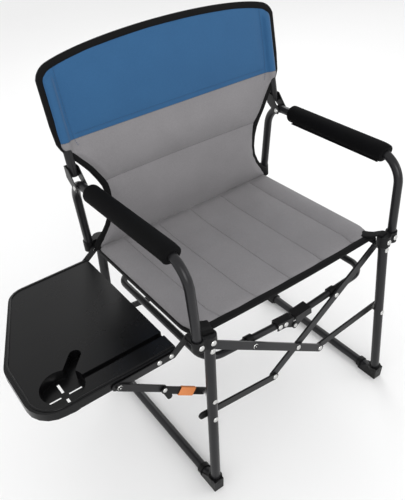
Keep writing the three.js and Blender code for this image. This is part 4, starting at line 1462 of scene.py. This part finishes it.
    def rim(self, grid: PadGrid, low: int, high: int,
            column: int = 0) -> list[tuple[Vector, Vector, Vector]]:
        """Frames of the binding along one part's free edges.

        Args:
            grid: The panel's grid.
            low: First row; at the panel's foot only one side edge is bound.
            high: Last row.
            column: The side edge's column, for the part at the foot.

        Returns:
            Centre, inward and outward directions along the rim.
        """
        last = len(grid.columns) - 1
        level = 0 if low == 0 else high
        climb = range(high, low - 1, -1) if low == 0 else range(low, high + 1)
        spots = ([(i, 0) for i in climb] + [(level, j) for j in range(1, last)]
                 + [(i, last) for i in reversed(climb)])
        if low == 0:
            spots = [(i, column) for i in climb]
        points = [grid.mid(i, j) for i, j in spots]
        centre = Vector((0, points[0].y, (grid.mid(low, last // 2).z + grid.mid(high, last // 2).z) / 2))
        frames = []
        for k, ((i, j), place) in enumerate(zip(spots, points)):
            ahead = (points[min(k + 2, len(points) - 1)] - points[max(k - 2, 0)]).normalized()
            out = grid.stored(i, j)
            inward = out.cross(ahead).normalized()
            if inward.dot(centre - place) < 0:
                inward = -inward
            frames.append((DRAWING.at(*(place + inward * 3.4)), inward, out))
        return frames


# ------------------------------------------------------------------ side table


@dataclass
class SideTable:
    """The moulded leaf, its bars and its folding strut."""
    finishes: Finishes
    heads: DomedHeads
    tubes: SweptTube
    bar_y: float = 41.0
    bar_z: float = 416.0
    rear_bar_y: float = 427.0
    hinge: tuple[float, float] = (-266.0, 442.0)
    rear_hinge_y: float = 427.2
    lip_z: float = 428.0
    screws: tuple[float, ...] = (-306.0, -333.0)

    def build(self) -> None:
        """Makes the table's pieces."""
        f = self.finishes
        softened("table_top", 1.1, f.moulded_table, 3)
        for node, width, finish in (
                ("table_front_bar", 0.6, f.painted_strip), ("table_rear_bar", 0.6, f.painted_strip),
                ("strut_upper_link", 0.7, f.painted_strip), ("strut_lower_link", 0.9, f.moulded_nylon),
                ("strut_grip", 0.8, f.orange_rubber)):
            softened(node, width, finish)
        self.lip()
        ahead, back = Vector((0, -1, 0)), Vector((0, 1, 0))
        places = [(Vector((x, self.bar_y, self.bar_z + 1)), ahead) for x in self.screws]
        places += [(Vector((x, self.rear_bar_y, self.bar_z + 1)), back) for x in self.screws]
        screws = self.heads.make("table_screws", places, 5.6, 2.2, f.plated_steel)
        placed(screws, "table", "rivet_steel", None)
        x, z = self.hinge
        pins = [(Vector((x, self.bar_y, z)), ahead), (Vector((x, self.rear_hinge_y, z)), back)]
        knuckle = self.heads.make("table_hinge_heads", pins, 5.4, 2.0, f.plated_steel)
        placed(knuckle, "table", "rivet_steel", None)
        self.strut_heads()

    def lip(self) -> None:
        """The raised bead that keeps things on the leaf, round its outer edges."""
        corners = [Vector((x, y, self.lip_z)) for x, y in (
            (-292, 419), (-479, 419), (-568, 206), (-568, 51.5), (-292, 51.5))]
        line = [corners[0]]
        for i, radius in ((1, 39), (2, 53), (3, 48)):
            line += fillet(corners[i - 1], corners[i], corners[i + 1], radius)
        line.append(corners[-1])
        bead = self.tubes.make("table_lip", line, 2.3, self.finishes.moulded_table, 12, 1.0)
        placed(bead, "table", "table_plastic", None)

    def strut_heads(self) -> None:
        """Rivet heads on the strut's three joints."""
        ahead = Vector((0, -1, 0))
        top, foot = Vector((-421, 36.3, 416)), Vector((-leg_x(286), 31.3, 286))
        span = foot - top
        knee = top + span * (106.8 / math.hypot(span.x, span.z))
        spots = {"strut_upper": (top, 5.5), "strut_lower": (Vector((knee.x, 31.4, knee.z)), 5.0)}
        for body, (place, radius) in spots.items():
            head = self.heads.make(f"strut_head_{body}", [(place, ahead)], radius, 1.8,
                                   self.finishes.plated_steel)
            placed(head, body, "rivet_steel", None)


# ------------------------------------------------------------------ the rest of the frame's nodes


def dress_nodes(finishes: Finishes) -> None:
    """Gives every CAD node that still shows the finish of its slot.

    Args:
        finishes: The built finishes.
    """
    for name, node in frame["nodes"].items():
        if node.hide_render:
            continue
        material = finishes.of_slot[SLOT_OF[name]]
        for slot in node.material_slots:
            slot.material = material
        if not node.material_slots:
            node.data.materials.append(material)


# ------------------------------------------------------------------ floor, light and camera


@dataclass
class Studio:
    """A pale floor, soft light and the camera."""
    azimuth: float = -32.4
    elevation: float = 35.33
    roll: float = -5.76
    lens: float = 43.6
    eye: tuple[float, float, float] = (-680.9, -695.6, 1238.7)

    def floor(self) -> None:
        """A large pale floor that isn't part of the chair."""
        corners = [Vector((x, y, -0.0006)) for x, y in ((-9, -9), (9, -9), (9, 9), (-9, 9))]
        floor = new_piece("floor", corners, [(0, 1, 2, 3)])
        floor.data.materials.append(Finish("matt_white_floor", "#F1F1F1", "#F4F4F4", 0.9, 0.02, 60, 0.1,
                                           900).build())

    def lamp(self, name: str, place: tuple[float, float, float], size: float, power: float) -> None:
        """A soft square lamp aimed at the chair.

        Args:
            name: The lamp's name.
            place: Its place in metres.
            size: Its side in metres.
            power: Its power in watts.
        """
        light = bpy.data.lights.new(name, "AREA")
        light.energy, light.size = power, size
        lamp = bpy.data.objects.new(name, light)
        lamp.location = place
        lamp.rotation_euler = (Vector((0, 0, 0.4)) - Vector(place)).to_track_quat("-Z", "Y").to_euler()
        bpy.context.scene.collection.objects.link(lamp)

    def light(self) -> None:
        """A bright even room with a main lamp in front, one behind and a fill."""
        world = bpy.data.worlds.new("studio")
        world.use_nodes = True
        sky = next(n for n in world.node_tree.nodes if n.type == "BACKGROUND")
        sky.inputs["Color"].default_value = linear("#FFFFFF")
        sky.inputs["Strength"].default_value = 0.95
        bpy.context.scene.world = world
        bpy.context.scene.view_settings.view_transform = "Standard"
        self.lamp("main_lamp", (-1.2, -2.9, 1.9), 1.8, 45)
        self.lamp("rear_lamp", (1.5, 2.2, 2.4), 1.2, 16)
        self.lamp("right_fill", (2.6, -2.0, 1.6), 1.2, 8)

    def camera(self) -> None:
        """The camera, turned by azimuth, elevation and roll."""
        turn, lift, roll = (math.radians(a) for a in (self.azimuth, self.elevation, self.roll))
        back = Vector((math.sin(turn) * math.cos(lift), -math.cos(turn) * math.cos(lift), math.sin(lift)))
        right = (-back).cross(Vector((0, 0, 1))).normalized()
        up = right.cross(-back).normalized()
        c, s = math.cos(roll), math.sin(roll)
        tilted_right, tilted_up = right * c + up * s, up * c - right * s
        view = bpy.data.cameras.new("camera")
        view.lens, view.sensor_width, view.clip_end = self.lens, 36.0, 50.0
        camera = bpy.data.objects.new("camera", view)
        camera.matrix_world = Matrix.Translation(DRAWING.at(*self.eye)) @ Matrix(
            (tilted_right, tilted_up, back)).transposed().to_4x4()
        bpy.context.scene.collection.objects.link(camera)
        bpy.context.scene.camera = camera

    def build(self) -> None:
        """Makes the floor, the lights and the camera."""
        self.floor()
        self.light()
        self.camera()


def main() -> None:
    """Builds the chair's looks piece by piece."""
    logging.basicConfig(level=logging.INFO, format="%(name)s %(message)s")
    finishes = Finishes()
    tubes, heads, stitches = SweptTube(), DomedHeads(), StitchRow()
    Studio().build()
    SideFrames(finishes, tubes).build()
    FoldingLinkage(finishes, tubes).build()
    FrameRivets(finishes, heads).build()
    BackFrame(finishes, tubes).build()
    SeatPad(finishes, stitches).build()
    BackPanel(finishes, stitches).build()
    SideTable(finishes, heads, tubes).build()
    dress_nodes(finishes)


if __name__ == "__main__":
    main()
